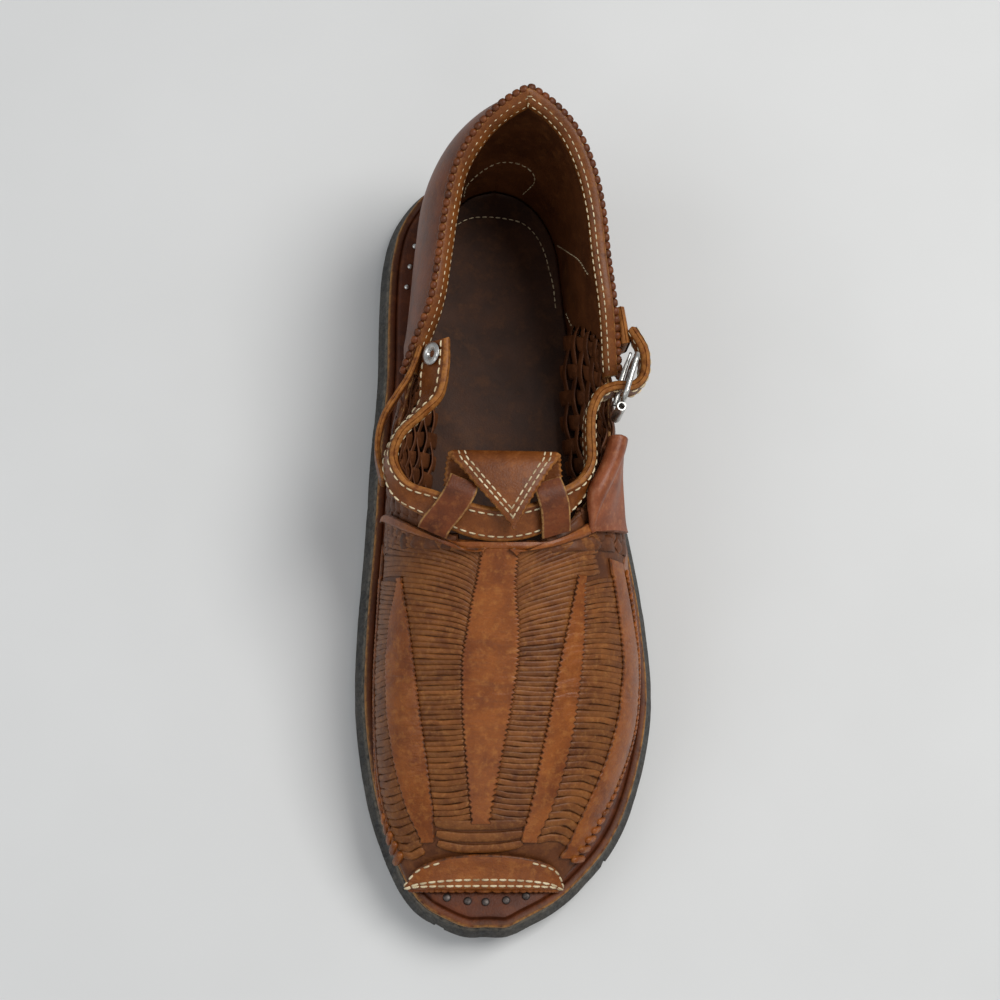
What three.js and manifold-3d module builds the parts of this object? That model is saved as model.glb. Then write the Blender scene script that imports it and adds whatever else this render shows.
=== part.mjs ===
// A left huarache shoe: woven leather vamp, open throat with a collar band, tall heel counter, tyre-rubber sole.
// Millimetres, +Z up, toe towards -Y, lateral (buckle) side towards +X. The origin is under the middle of the sole.
import * as THREE from "three";
import { mergeVertices } from "three/addons/utils/BufferGeometryUtils.js";
import Module from "manifold-3d";

// Overall sizes
const SHOE_LENGTH = 285;
const BALL_WIDTH = 106;
const INSTEP_HEIGHT = 56;
const TOE_LINE = -138;

// Sole
const OUTSOLE_THICKNESS = 12;
const OUTSOLE_FLARE = 3;
const MIDSOLE_THICKNESS = 6;
const MIDSOLE_MARGIN = 3.4;
const MIDSOLE_BAND = 3;
const MIDSOLE_STEP = 0.8;
const INSOLE_THICKNESS = 2.2;
const HEEL_RISE = 3;
const TOE_SPRING = 7;
const ARCH_RELIEF = 2;
const LUG_DEPTH = 2.6;
const LUG_GAP = 5;
const LUG_PITCH = 24;
const TOE_BITE = 4.2;

// Upper
const WALL = 2.4;
const BAND_RAISE = 0.8;
const STRIP_RAISE = 0.5;
const STRIP_PITCH = 6;
const WEAVE_CELL = 6.6;
const OVERLAY = 2;
const PATCH_THICKNESS = 1.5;
const PATCH_TAB = 2.4;
const COUNTER_BEAD = 7.4;
const COUNTER_BEAD_HEIGHT = 1.4;
const COUNTER_RIM = 2;
const STRAP_THICKNESS = 3.2;
const SIDE_STRAP = 2;
const KEEPER_WIDTH = 9.5;
const KEEPER_THICKNESS = 1.5;
const FLAP_THICKNESS = 2.2;
const FLAP_HALF = 20;
const ANCHOR_THICKNESS = 3.2;

// Metal
const NAIL_HEAD = 2.8;
const NAIL_PROUD = 0.9;
const NAIL_SEAT = 0.12;
const NAIL_SETBACK = 5;
const WIRE = 2.2;
const FRAME_DEPTH = 1.54;
const BUCKLE_LENGTH = 19;
const BUCKLE_WIDTH = 18;
const PRONG = 1.8;
const ROLLER = 3.4;
const ROLLER_WALL = 0.6;
const FRAME_CORNER = 4;
const EYELET_HOLE = 4;
const EYELET_RIM = 8;
const EYELET_WALL = 0.7;

// Clearance between pieces that meet
const GAP = 0.3;
const COUNTER_GAP = 0.7;
const FOOT_GAP = 0.4;

// Outline of the sole, as shares of the length from the toe and of the ball width from the centre line
const SOLE_OUTLINE = [
  { along: 0.0, medial: 0.17, lateral: -0.03 },
  { along: 0.012, medial: 0.255, lateral: 0.04 },
  { along: 0.028, medial: 0.327, lateral: 0.123 },
  { along: 0.054, medial: 0.384, lateral: 0.212 },
  { along: 0.107, medial: 0.449, lateral: 0.335 },
  { along: 0.168, medial: 0.499, lateral: 0.411 },
  { along: 0.276, medial: 0.54, lateral: 0.472 },
  { along: 0.384, medial: 0.537, lateral: 0.458 },
  { along: 0.484, medial: 0.519, lateral: 0.415 },
  { along: 0.604, medial: 0.503, lateral: 0.345 },
  { along: 0.7, medial: 0.483, lateral: 0.292 },
  { along: 0.795, medial: 0.481, lateral: 0.252 },
  { along: 0.865, medial: 0.47, lateral: 0.231 },
  { along: 0.915, medial: 0.437, lateral: 0.198 },
  { along: 0.965, medial: 0.346, lateral: 0.104 },
  { along: 0.9916, medial: 0.236, lateral: -0.009 },
  { along: 1.0, medial: 0.16, lateral: -0.085 },
];

// Sections of the last under the closed vamp: foot line, ridge and height over the midsole, as the same shares
// and a share of the instep height. The square is the exponent of the section's curve, the full its swell.
const VAMP = [
  { along: 0.061, medial: 0.358, lateral: 0.132, ridge: -0.113, height: 0.06, square: 2.6,
    fullM: 0.0, fullL: 0.0 },
  { along: 0.084, medial: 0.387, lateral: 0.184, ridge: -0.118, height: 0.145, square: 2.5,
    fullM: 0.004, fullL: 0.0 },
  { along: 0.109, medial: 0.41, lateral: 0.225, ridge: -0.127, height: 0.26, square: 2.4,
    fullM: 0.01, fullL: 0.004 },
  { along: 0.144, medial: 0.434, lateral: 0.275, ridge: -0.134, height: 0.39, square: 2.3,
    fullM: 0.016, fullL: 0.008 },
  { along: 0.186, medial: 0.453, lateral: 0.328, ridge: -0.136, height: 0.51, square: 2.25,
    fullM: 0.022, fullL: 0.01 },
  { along: 0.249, medial: 0.464, lateral: 0.382, ridge: -0.136, height: 0.64, square: 2.2,
    fullM: 0.028, fullL: 0.012 },
  { along: 0.316, medial: 0.467, lateral: 0.396, ridge: -0.132, height: 0.76, square: 2.2,
    fullM: 0.03, fullL: 0.014 },
  { along: 0.379, medial: 0.46, lateral: 0.387, ridge: -0.123, height: 0.872, square: 2.2,
    fullM: 0.03, fullL: 0.014 },
  { along: 0.439, medial: 0.453, lateral: 0.364, ridge: -0.099, height: 0.985, square: 2.25,
    fullM: 0.028, fullL: 0.014 },
];

// Sections behind the throat, each from its place on the foot line to its place on the topline
const SIDES = [
  { foot: 0.462, medial: 0.449, lateral: 0.352, top: 0.443, topM: 0.2, topL: -0.005,
    height: 0.985, square: 2.4, full: 0.024 },
  { foot: 0.49, medial: 0.444, lateral: 0.34, top: 0.461, topM: 0.29, topL: 0.09,
    height: 0.955, square: 2.5, full: 0.02 },
  { foot: 0.52, medial: 0.44, lateral: 0.331, top: 0.492, topM: 0.37, topL: 0.175,
    height: 0.9, square: 2.6, full: 0.016 },
  { foot: 0.551, medial: 0.434, lateral: 0.317, top: 0.53, topM: 0.42, topL: 0.235,
    height: 0.83, square: 2.7, full: 0.014 },
  { foot: 0.586, medial: 0.42, lateral: 0.299, top: 0.575, topM: 0.437, topL: 0.275,
    height: 0.74, square: 2.8, full: 0.012 },
  { foot: 0.628, medial: 0.406, lateral: 0.274, top: 0.625, topM: 0.41, topL: 0.282,
    height: 0.72, square: 2.8, full: 0.012 },
  { foot: 0.674, medial: 0.384, lateral: 0.247, top: 0.68, topM: 0.36, topL: 0.266,
    height: 0.84, square: 2.8, full: 0.012 },
  { foot: 0.723, medial: 0.363, lateral: 0.217, top: 0.733, topM: 0.305, topL: 0.247,
    height: 0.975, square: 2.8, full: 0.012 },
  { foot: 0.779, medial: 0.349, lateral: 0.192, top: 0.791, topM: 0.28, topL: 0.223,
    height: 1.036, square: 2.8, full: 0.012 },
  { foot: 0.835, medial: 0.335, lateral: 0.175, top: 0.844, topM: 0.26, topL: 0.203,
    height: 1.107, square: 2.8, full: 0.014 },
  { foot: 0.883, medial: 0.307, lateral: 0.156, top: 0.889, topM: 0.231, topL: 0.17,
    height: 1.179, square: 2.8, full: 0.026 },
  { foot: 0.926, medial: 0.255, lateral: 0.104, top: 0.927, topM: 0.17, topL: 0.118,
    height: 1.25, square: 2.8, full: 0.03 },
  { foot: 0.955, medial: 0.175, lateral: 0.02, top: 0.95, topM: 0.099, topL: 0.052,
    height: 1.321, square: 2.8, full: 0.034 },
  { foot: 0.966, medial: 0.08, lateral: -0.08, top: 0.9635, topM: 0.023, topL: -0.023,
    height: 1.393, square: 2.8, full: 0.036 },
];

// Edges of the smooth bands on the vamp, from the foot line, 0, to the ridge, 1
const BANDS = [
  { along: 0.06, side: 0.25, outer: 0.56, inner: 0.6, centre: 0.95 },
  { along: 0.14, side: 0.27, outer: 0.54, inner: 0.66, centre: 0.93 },
  { along: 0.25, side: 0.28, outer: 0.53, inner: 0.68, centre: 0.88 },
  { along: 0.36, side: 0.27, outer: 0.58, inner: 0.66, centre: 0.9 },
  { along: 0.45, side: 0.26, outer: 0.6, inner: 0.63, centre: 0.93 },
];

// Collar band: its lower and upper edge, across and along as shares, height as a share of the instep height
const COLLAR = [
  { x: -0.33, y: 0.69, low: 0.93, highX: -0.262, highY: 0.69, high: 1.06 },
  { x: -0.348, y: 0.655, low: 0.865, highX: -0.264, highY: 0.652, high: 1.06 },
  { x: -0.348, y: 0.622, low: 0.81, highX: -0.284, highY: 0.62, high: 1.04 },
  { x: -0.375, y: 0.602, low: 0.81, highX: -0.34, highY: 0.598, high: 1.04 },
  { x: -0.424, y: 0.575, low: 0.84, highX: -0.41, highY: 0.572, high: 1.045 },
  { x: -0.452, y: 0.54, low: 0.88, highX: -0.43, highY: 0.543, high: 1.05 },
  { x: -0.425, y: 0.5, low: 0.94, highX: -0.385, highY: 0.5145, high: 1.06 },
  { x: -0.33, y: 0.475, low: 0.985, highX: -0.3, highY: 0.503, high: 1.07 },
  { x: -0.19, y: 0.4515, low: 1.0, highX: -0.2, highY: 0.49, high: 1.08 },
  { x: -0.1, y: 0.447, low: 1.0, highX: -0.1, highY: 0.484, high: 1.08 },
  { x: -0.01, y: 0.4515, low: 1.0, highX: 0.0, highY: 0.49, high: 1.08 },
  { x: 0.075, y: 0.467, low: 0.985, highX: 0.092, highY: 0.508, high: 1.07 },
  { x: 0.15, y: 0.499, low: 0.94, highX: 0.16, highY: 0.524, high: 1.06 },
  { x: 0.19, y: 0.535, low: 0.87, highX: 0.19, highY: 0.545, high: 1.05 },
  { x: 0.19, y: 0.575, low: 0.85, highX: 0.19, highY: 0.578, high: 1.06 },
  { x: 0.195, y: 0.605, low: 0.85, highX: 0.195, highY: 0.605, high: 1.06 },
  { x: 0.225, y: 0.628, low: 0.86, highX: 0.225, highY: 0.628, high: 1.06 },
  { x: 0.275, y: 0.636, low: 0.87, highX: 0.275, highY: 0.636, high: 1.06 },
  { x: 0.33, y: 0.637, low: 0.87, highX: 0.33, highY: 0.637, high: 1.06 },
  { x: 0.37, y: 0.65, low: 0.87, highX: 0.37, highY: 0.65, high: 1.06 },
  { x: 0.378, y: 0.68, low: 0.88, highX: 0.378, highY: 0.68, high: 1.05 },
  { x: 0.366, y: 0.712, low: 0.92, highX: 0.366, highY: 0.712, high: 1.01 },
];

// Anchor strap of the buckle, as the collar band
const ANCHOR = [
  { x: 0.292, y: 0.738, low: 0.72, high: 1.0 },
  { x: 0.303, y: 0.712, low: 0.72, high: 1.0 },
  { x: 0.312, y: 0.693, low: 0.76, high: 0.98 },
];

// Counter: where its front edge meets the topline behind the throat, how far the edge leans back, length of a half
const COUNTER = { wing: 6.6, lean: 1.6, reach: 0.36 };

// Medial side strap, an upright band outside the collar, from beside the eyelet to the wall of the upper
const MEDIAL_STRAP = [
  { x: -0.389, y: 0.648, low: 0.84, high: 0.94 },
  { x: -0.424, y: 0.627, low: 0.8, high: 0.93 },
  { x: -0.462, y: 0.603, low: 0.74, high: 0.92 },
  { x: -0.478, y: 0.584, low: 0.68, high: 0.89 },
  { x: -0.481, y: 0.563, low: 0.6, high: 0.83 },
  { x: -0.46, y: 0.532, low: 0.52, high: 0.74 },
];

// Lateral side strap: ends on the last behind the throat, places up the section of its top edge in front and of
// its lower edge, then how far the top edge stands up
const LATERAL_STRAP = { from: 1.6, to: 5.1, topFront: 0.74, lowFront: 0.4, lowRise: 0.38 };
const STRAP_STAND = 3;
const STRAP_LIFT = 5;
const STRAP_BULGE = 1.2;

// Middle line of the tongue flap, along, up as a share of the instep height and across from its middle plane, with
// its half width as a share
const FLAP_MIDDLE = -0.088;
const FLAP = [
  { along: 0.512, up: 0.007, across: 0, width: 1 },
  { along: 0.54, up: 0.075, across: 0, width: 0.96 },
  { along: 0.545, up: 0.132, across: 0, width: 0.92 },
  { along: 0.536, up: 0.179, across: 0, width: 0.88 },
  { along: 0.51, up: 0.186, across: 0.007, width: 0.59 },
  { along: 0.483, up: 0.166, across: 0.018, width: 0.3 },
  { along: 0.4555, up: 0.132, across: 0.03, width: 0.05 },
];

// Middle lines of the keeper straps, from the flap down, and how far their edges are skewed
const KEEPERS = {
  medial: { across: [-0.225, -0.255, -0.3], skew: -2 },
  lateral: { across: [0.055, 0.07, 0.075], skew: 1.5 },
};
const KEEPER_LINE = [
  { along: 0.5, up: 0.146 },
  { along: 0.482, up: 0.118 },
  { along: 0.462, up: 0.064 },
];

// Toe patch: places along the last of its upper edge and how far its ends stay from the sole
const PATCH = { start: 0.12, reach: 1.5, ends: 0.12, notch: 0.9 };

// Buckle: its middle and how far it is turned, and the bow of its prong
const BUCKLE = { x: 0.316, y: 0.646, height: 0.965, turn: 1.27 };
const PRONG_BOW = 0.4;

// Nails on the midsole before the toe patch, and beside the counter on the medial side
const TOE_NAILS = [
  { x: -0.232, along: 0.047 },
  { x: -0.165, along: 0.043 },
  { x: -0.107, along: 0.042 },
  { x: -0.04, along: 0.044 },
  { x: 0.025, along: 0.049 },
];
const HEEL_NAILS = [0.82, 0.847, 0.874, 0.9, 0.925];

// Grooves of the tread: slanted pairs under the ball, straight ones under the heel, and bites in the toe's edge
const LUG_ROWS = { from: 0.13, reach: 0.36, medial: -0.3, lateral: 0.22, width: 0.42, turn: 0.3 };
const HEEL_GROOVES = { along: [0.76, 0.86], middle: -0.12, width: 0.9 };
const TOE_BITES = [{ x: -0.255, along: 0.009 }, { x: 0.305, along: 0.083 }];

const wasm = await Module();
wasm.setup();

const MEDIAL = -1;
const LATERAL = 1;
const THROAT = VAMP.length - 1;
const HEEL_BACK = THROAT + SIDES.length;
const TURN = 0.03;
const PATCH_END = 1.95;
const SIDE_TURN = 0.62;
const SIDE_REACH = 0.62;
const PLAIT_END = 6;
const OUTLINE_POINTS = 72;
const INSOLE_START = 1.8;
const INSOLE_STATIONS = 34;
const INSOLE_MIDDLE = -0.08;

function across(share) {
  return share * BALL_WIDTH;
}

function lengthwise(share) {
  return TOE_LINE + share * SHOE_LENGTH;
}

function share(y) {
  return (y - TOE_LINE) / SHOE_LENGTH;
}

function smooth(from, to, x) {
  return THREE.MathUtils.smoothstep(x, from, to);
}

// Smooth curve through one column of a table, read at a fractional row
function column(rows, name, at) {
  const i = Math.min(Math.max(Math.floor(at), 0), rows.length - 2);
  const t = at - i;
  const p = (k) => rows[Math.min(Math.max(k, 0), rows.length - 1)][name];
  const m0 = (p(i + 1) - p(i - 1)) / 2;
  const m1 = (p(i + 2) - p(i)) / 2;
  const s = t * t;
  const c = s * t;
  return (2 * c - 3 * s + 1) * p(i) + (c - 2 * s + t) * m0 + (3 * s - 2 * c) * p(i + 1) + (c - s) * m1;
}

// The fractional row at which a rising column reaches a value
function rowAt(rows, name, value) {
  let low = 0;
  let high = rows.length - 1;
  for (let k = 0; k < 40; k += 1) {
    const mid = (low + high) / 2;
    if (column(rows, name, mid) < value) low = mid;
    else high = mid;
  }
  return (low + high) / 2;
}

// Heights of the sole along the shoe
function springAt(along) {
  return TOE_SPRING * Math.max(0, (0.17 - along) / 0.17) ** 1.8;
}

function riseAt(along) {
  return springAt(along) + HEEL_RISE * smooth(0.45, 0.75, along);
}

function archAt(along) {
  return ARCH_RELIEF * smooth(0.47, 0.53, along) * (1 - smooth(0.64, 0.7, along));
}

function midsoleTop(along) {
  return OUTSOLE_THICKNESS + MIDSOLE_THICKNESS + MIDSOLE_STEP + GAP + riseAt(along);
}

function footLevel(along) {
  return midsoleTop(along) + FOOT_GAP;
}

// Closed outline of the sole, pulled in by a margin: both halves from the toe to the heel have as many points
function soleOutline(margin) {
  const count = OUTLINE_POINTS;
  const medial = SOLE_OUTLINE.map((r) => new THREE.Vector3(-across(r.medial), lengthwise(r.along), 0));
  const lateral = SOLE_OUTLINE.map((r) => new THREE.Vector3(across(r.lateral), lengthwise(r.along), 0));
  const toe = medial[0].clone().lerp(lateral[0], 0.5);
  const heel = medial[medial.length - 1].clone().lerp(lateral[lateral.length - 1], 0.5);
  const stops = [toe, ...medial, heel, ...lateral.reverse()];
  const loop = new THREE.CatmullRomCurve3(stops, true, "centripetal").getPoints(stops.length * 8);
  const middle = loop.length >> 1;
  const ahead = evenly(loop.slice(0, middle + 1), count / 2);
  const back = evenly(loop.slice(middle), count / 2);
  const points = [...ahead.slice(0, -1), ...back.slice(0, -1)];
  return points.map((p, i) => {
    const before = points[(i + count - 1) % count];
    const after = points[(i + 1) % count];
    const side = new THREE.Vector2(after.y - before.y, before.x - after.x).normalize();
    return new THREE.Vector2(p.x + side.x * margin, p.y + side.y * margin);
  });
}

// Points at even steps along a polyline
function evenly(line, steps) {
  const run = [0];
  for (let i = 1; i < line.length; i += 1) run.push(run[i - 1] + line[i].distanceTo(line[i - 1]));
  const out = [];
  let k = 0;
  for (let i = 0; i <= steps; i += 1) {
    const at = (run[run.length - 1] * i) / steps;
    while (k < line.length - 2 && run[k + 1] < at) k += 1;
    out.push(line[k].clone().lerp(line[k + 1], (at - run[k]) / (run[k + 1] - run[k])));
  }
  return out;
}

// Triangles of a quad mesh between two rows of points
function quads(out, a, b, closed = false) {
  const n = closed ? a.length : a.length - 1;
  for (let i = 0; i < n; i += 1) {
    const k = (i + 1) % a.length;
    out.push([a[i], a[k], b[k]], [a[i], b[k], b[i]]);
  }
}

// Caps a ring by strips across it; a ring with a point on the middle line starts there
function cap(out, ring, centred) {
  const n = ring.length;
  const shift = centred ? 0 : 1;
  for (let i = 0; i + 1 <= (n - shift) / 2; i += 1) {
    const [a, b] = [ring[i], ring[i + 1]];
    const [c, d] = [ring[(n - 1 - i - shift + n) % n], ring[(n - i - shift + n) % n]];
    out.push([a, b, c], [a, c, d]);
  }
}

// A closed body from triangles, turned so that its faces point out
function body(triangles) {
  let volume = 0;
  for (const [a, b, c] of triangles) volume += a.dot(b.clone().cross(c));
  const flat = [];
  for (const [a, b, c] of triangles) {
    const order = volume > 0 ? [a, b, c] : [a, c, b];
    for (const p of order) flat.push(p.x, p.y, p.z);
  }
  const geometry = new THREE.BufferGeometry();
  geometry.setAttribute("position", new THREE.Float32BufferAttribute(flat, 3));
  return dropSlivers(mergeVertices(geometry, 1e-4));
}

function dropSlivers(geometry) {
  const index = geometry.getIndex().array;
  const kept = [];
  for (let i = 0; i < index.length; i += 3) {
    const [a, b, c] = [index[i], index[i + 1], index[i + 2]];
    if (a !== b && b !== c && a !== c) kept.push(a, b, c);
  }
  geometry.setIndex(kept);
  return geometry;
}

// A sheet with thickness: two grids of points, walled round their edges
function sheet(outer, inner) {
  const out = [];
  for (let i = 0; i < outer.length - 1; i += 1) {
    quads(out, outer[i], outer[i + 1]);
    quads(out, inner[i + 1], inner[i]);
  }
  const last = outer.length - 1;
  const end = outer[0].length - 1;
  quads(out, inner[0], outer[0]);
  quads(out, outer[last], inner[last]);
  quads(out, outer.map((r) => r[0]), inner.map((r) => r[0]));
  quads(out, inner.map((r) => r[end]), outer.map((r) => r[end]));
  return body(out);
}

// A closed body lofted through rings of equal count, capped at both ends
function loft(rings, centred = true) {
  const out = [];
  for (let i = 0; i < rings.length - 1; i += 1) quads(out, rings[i], rings[i + 1], true);
  const bottom = [];
  cap(bottom, rings[0], centred);
  for (const [a, b, c] of bottom) out.push([a, c, b]);
  cap(out, rings[rings.length - 1], centred);
  return body(out);
}

function toManifold(geometry) {
  const merged = tidy(geometry.clone());
  return new wasm.Manifold(new wasm.Mesh({
    numProp: 3,
    vertProperties: new Float32Array(merged.attributes.position.array),
    triVerts: new Uint32Array(merged.index.array),
  }));
}

function fromManifold(solid) {
  const mesh = solid.getMesh();
  const geometry = new THREE.BufferGeometry();
  geometry.setAttribute("position", new THREE.BufferAttribute(new Float32Array(mesh.vertProperties), 3));
  geometry.setIndex(new THREE.BufferAttribute(new Uint32Array(mesh.triVerts), 1));
  return geometry;
}

// The last's surface: u runs from the toe over the throat to the heel back, v from the foot line to the top
function sectionAt(side, u) {
  if (u > THROAT) return sideSection(side, u - THROAT);
  const names = side === MEDIAL ? ["medial", "fullM"] : ["lateral", "fullL"];
  const along = column(VAMP, "along", u);
  return {
    foot: new THREE.Vector3(side * across(column(VAMP, names[0], u)), lengthwise(along), footLevel(along)),
    top: new THREE.Vector3(across(column(VAMP, "ridge", u)), lengthwise(along), 0),
    height: INSTEP_HEIGHT * column(VAMP, "height", u),
    square: column(VAMP, "square", u),
    full: across(column(VAMP, names[1], u)),
  };
}

// The sections behind the throat start from the vamp's last row
function sideSection(side, at) {
  const names = side === MEDIAL ? ["medial", "topM", "fullM"] : ["lateral", "topL", "fullL"];
  const last = VAMP[THROAT];
  const start = {
    foot: last.along,
    medial: last.medial,
    lateral: last.lateral,
    top: last.along,
    topM: -last.ridge,
    topL: last.ridge,
    height: last.height,
    square: last.square,
    full: last[names[2]],
  };
  const rows = [start, ...SIDES];
  const foot = column(rows, "foot", at);
  return {
    foot: new THREE.Vector3(side * across(column(rows, names[0], at)), lengthwise(foot), footLevel(foot)),
    top: new THREE.Vector3(side * across(column(rows, names[1], at)), lengthwise(column(rows, "top", at)), 0),
    height: INSTEP_HEIGHT * column(rows, "height", at),
    square: column(rows, "square", at),
    full: across(column(rows, "full", at)),
  };
}

function lastPoint(side, u, v) {
  const s = sectionAt(side, u);
  const turn = (Math.PI / 2) * THREE.MathUtils.lerp(1, SIDE_TURN, smooth(THROAT, THROAT + 3, u));
  const curl = (angle) => 1 - Math.max(Math.cos(angle), 0) ** (2 / s.square);
  const climb = (angle) => Math.sin(angle) ** (2 / s.square);
  const inward = curl(v * turn) / curl(turn);
  const up = climb(v * turn) / climb(turn);
  const next = sectionAt(side, Math.min(u + 0.05, HEEL_BACK));
  const before = sectionAt(side, Math.max(u - 0.05, 0));
  const run = next.foot.clone().sub(before.foot).normalize();
  const out = u < HEEL_BACK ? new THREE.Vector3(run.y, -run.x, 0).multiplyScalar(side) : new THREE.Vector3(0, 1, 0);
  const swell = s.full * Math.sin(Math.PI * v);
  return new THREE.Vector3(
    THREE.MathUtils.lerp(s.foot.x, s.top.x, inward) + out.x * swell,
    THREE.MathUtils.lerp(s.foot.y, s.top.y, inward) + out.y * swell,
    s.foot.z + s.height * up,
  );
}

// A point of the last, moved out along the surface's normal
function surface(side, u, v, offset) {
  const normal = normalAt(side, u, v);
  if (v < TURN) normal.z = 0;
  const point = lastPoint(side, u, v).addScaledVector(normal.normalize(), offset);
  if (v < TURN) point.z = footLevel(share(point.y));
  return point;
}

// Both halves share the ridge and the heel back, where the normal stays in the middle plane
function normalAt(side, u, v) {
  const b = Math.min(Math.max(v, TURN), 1 - TURN);
  if (u >= HEEL_BACK) {
    const rise = lastPoint(side, HEEL_BACK, b + TURN).sub(lastPoint(side, HEEL_BACK, b - TURN));
    return new THREE.Vector3(0, rise.z, -rise.y);
  }
  if (u <= THROAT && v > 1 - TURN) {
    const at = Math.min(Math.max(u, TURN), THROAT - TURN);
    const run = lastPoint(side, at + TURN, 1).sub(lastPoint(side, at - TURN, 1));
    return new THREE.Vector3(0, -run.z, run.y);
  }
  const a = Math.min(Math.max(u, TURN), HEEL_BACK - TURN);
  const du = lastPoint(side, a + TURN, b).sub(lastPoint(side, a - TURN, b));
  const dv = lastPoint(side, a, b + TURN).sub(lastPoint(side, a, b - TURN));
  return du.cross(dv).multiplyScalar(side);
}

// Stations along the vamp: a crest and a hollow for each strip
function vampStations() {
  const first = VAMP[0].along;
  const last = VAMP[THROAT].along;
  const count = 2 * Math.round(((last - first) * SHOE_LENGTH) / STRIP_PITCH);
  const out = [];
  for (let i = 0; i <= count; i += 1) {
    out.push(rowAt(VAMP, "along", first + ((last - first) * i) / count));
  }
  out[0] = 0;
  out[count] = THROAT;
  return out;
}

function sideStations() {
  const count = 2 * Math.round((SIDE_REACH * SHOE_LENGTH) / WEAVE_CELL / 2);
  const out = [];
  for (let i = 1; i <= count; i += 1) out.push(THROAT + ((HEEL_BACK - THROAT) * i) / count);
  return out;
}

// Heights on the section where a grid line runs, following the bands' edges over the vamp
function gridLines(u) {
  const edge = 0.012;
  const along = u <= THROAT ? column(VAMP, "along", u) : VAMP[THROAT].along;
  const at = rowAt(BANDS, "along", along);
  const b = {};
  for (const name of ["side", "outer", "inner", "centre"]) b[name] = column(BANDS, name, at);
  const onBands = [
    0, b.side - edge, b.side + edge, b.outer - edge, b.outer + edge,
    b.inner - edge, b.inner + edge, (b.inner + b.centre) / 2, b.centre - edge, b.centre + edge, 1,
  ];
  const even = onBands.map((_, i) => i / (onBands.length - 1));
  const mix = smooth(THROAT, THROAT + 4, u);
  return onBands.map((v, i) => THREE.MathUtils.lerp(v, even[i], mix));
}

// Raised strips between the smooth bands on the vamp, and a plaited side behind them
function relief(u, station, line) {
  if (u < PATCH_END) return 0;
  const smoothBand = [0, 1, 4, 5, 9, 10].includes(line);
  if (u <= THROAT) {
    if (smoothBand) return BAND_RAISE;
    return station % 2 ? STRIP_RAISE : 0;
  }
  if (line === 0 || line >= 9 || u > THROAT + PLAIT_END) return 0;
  return (station + line) % 2 ? STRIP_RAISE : 0;
}

function upperSolid() {
  const out = [];
  const vamp = vampStations();
  const stations = [...vamp, ...sideStations()];
  const half = (side, deep) => stations.map((u, i) => gridLines(u).map((v, j) => (
    surface(side, u, v, deep ? -WALL : relief(u, i, j)))));
  for (const side of [MEDIAL, LATERAL]) {
    const outer = half(side, false);
    const inner = half(side, true);
    const add = (a, b) => (side === MEDIAL ? quads(out, a, b) : quads(out, b, a));
    for (let i = 0; i < stations.length - 1; i += 1) {
      add(outer[i], outer[i + 1]);
      add(inner[i + 1], inner[i]);
    }
    add(inner[0], outer[0]);
    add(outer.map((r) => r[0]), inner.map((r) => r[0]));
    const rim = (rows) => rows.slice(vamp.length - 1).map((r) => r[r.length - 1]);
    add(rim(inner), rim(outer));
  }
  return body(out);
}

// Sole
function outsoleSolid() {
  const ring = (margin, z, follow) => soleOutline(margin).map((p) => (
    new THREE.Vector3(p.x, p.y, z + follow(share(p.y)))));
  const under = (along) => springAt(along) + archAt(along);
  const solid = toManifold(loft([
    ring(1.6, 0, under),
    ring(0.2, 1.6, under),
    ring(0, OUTSOLE_THICKNESS * 0.45, riseAt),
    ring(OUTSOLE_FLARE, OUTSOLE_THICKNESS, riseAt),
  ]));
  return fromManifold(treadCuts().reduce((a, cut) => a.subtract(cut), solid));
}

// Grooves between the lugs of the tread, and the bites that they leave in the toe's edge
function treadCuts() {
  const groove = (x, y, width, turn) => {
    const box = new THREE.BoxGeometry(across(width), LUG_GAP, 2 * LUG_DEPTH);
    box.rotateZ(turn);
    box.translate(across(x), y, 0);
    return toManifold(box);
  };
  const bite = (radius, sides, x, along) => {
    const post = new THREE.CylinderGeometry(radius, radius, OUTSOLE_THICKNESS * 1.1, sides);
    post.rotateX(Math.PI / 2);
    post.translate(across(x), lengthwise(along), OUTSOLE_THICKNESS * 0.2 + TOE_SPRING / 2);
    return toManifold(post);
  };
  const cuts = [];
  const lugs = Math.floor((LUG_ROWS.reach * SHOE_LENGTH) / LUG_PITCH);
  for (let i = 0; i < lugs; i += 1) {
    const y = lengthwise(LUG_ROWS.from) + i * LUG_PITCH;
    cuts.push(groove(LUG_ROWS.medial, y, LUG_ROWS.width, LUG_ROWS.turn));
    cuts.push(groove(LUG_ROWS.lateral, y, LUG_ROWS.width, -LUG_ROWS.turn));
  }
  for (const along of HEEL_GROOVES.along) {
    cuts.push(groove(HEEL_GROOVES.middle, lengthwise(along), HEEL_GROOVES.width, 0));
  }
  cuts.push(bite(TOE_BITE / 2, 12, TOE_BITES[0].x, TOE_BITES[0].along));
  cuts.push(bite(TOE_BITE * 0.8, 3, TOE_BITES[1].x, TOE_BITES[1].along));
  return cuts;
}

function midsoleSolid() {
  const base = OUTSOLE_THICKNESS + GAP;
  const top = base + MIDSOLE_THICKNESS;
  const ring = (margin, z) => soleOutline(margin).map((p) => (
    new THREE.Vector3(p.x, p.y, z + riseAt(share(p.y)))));
  const step = MIDSOLE_MARGIN + MIDSOLE_BAND;
  return loft([
    ring(MIDSOLE_MARGIN, base),
    ring(MIDSOLE_MARGIN, top - 0.8),
    ring(MIDSOLE_MARGIN + 0.8, top),
    ring(step - 0.4, top),
    ring(step, top - 0.5),
    ring(step + 0.6, top + MIDSOLE_STEP * 0.6),
    ring(step + 1.6, top + MIDSOLE_STEP),
  ]);
}

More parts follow.
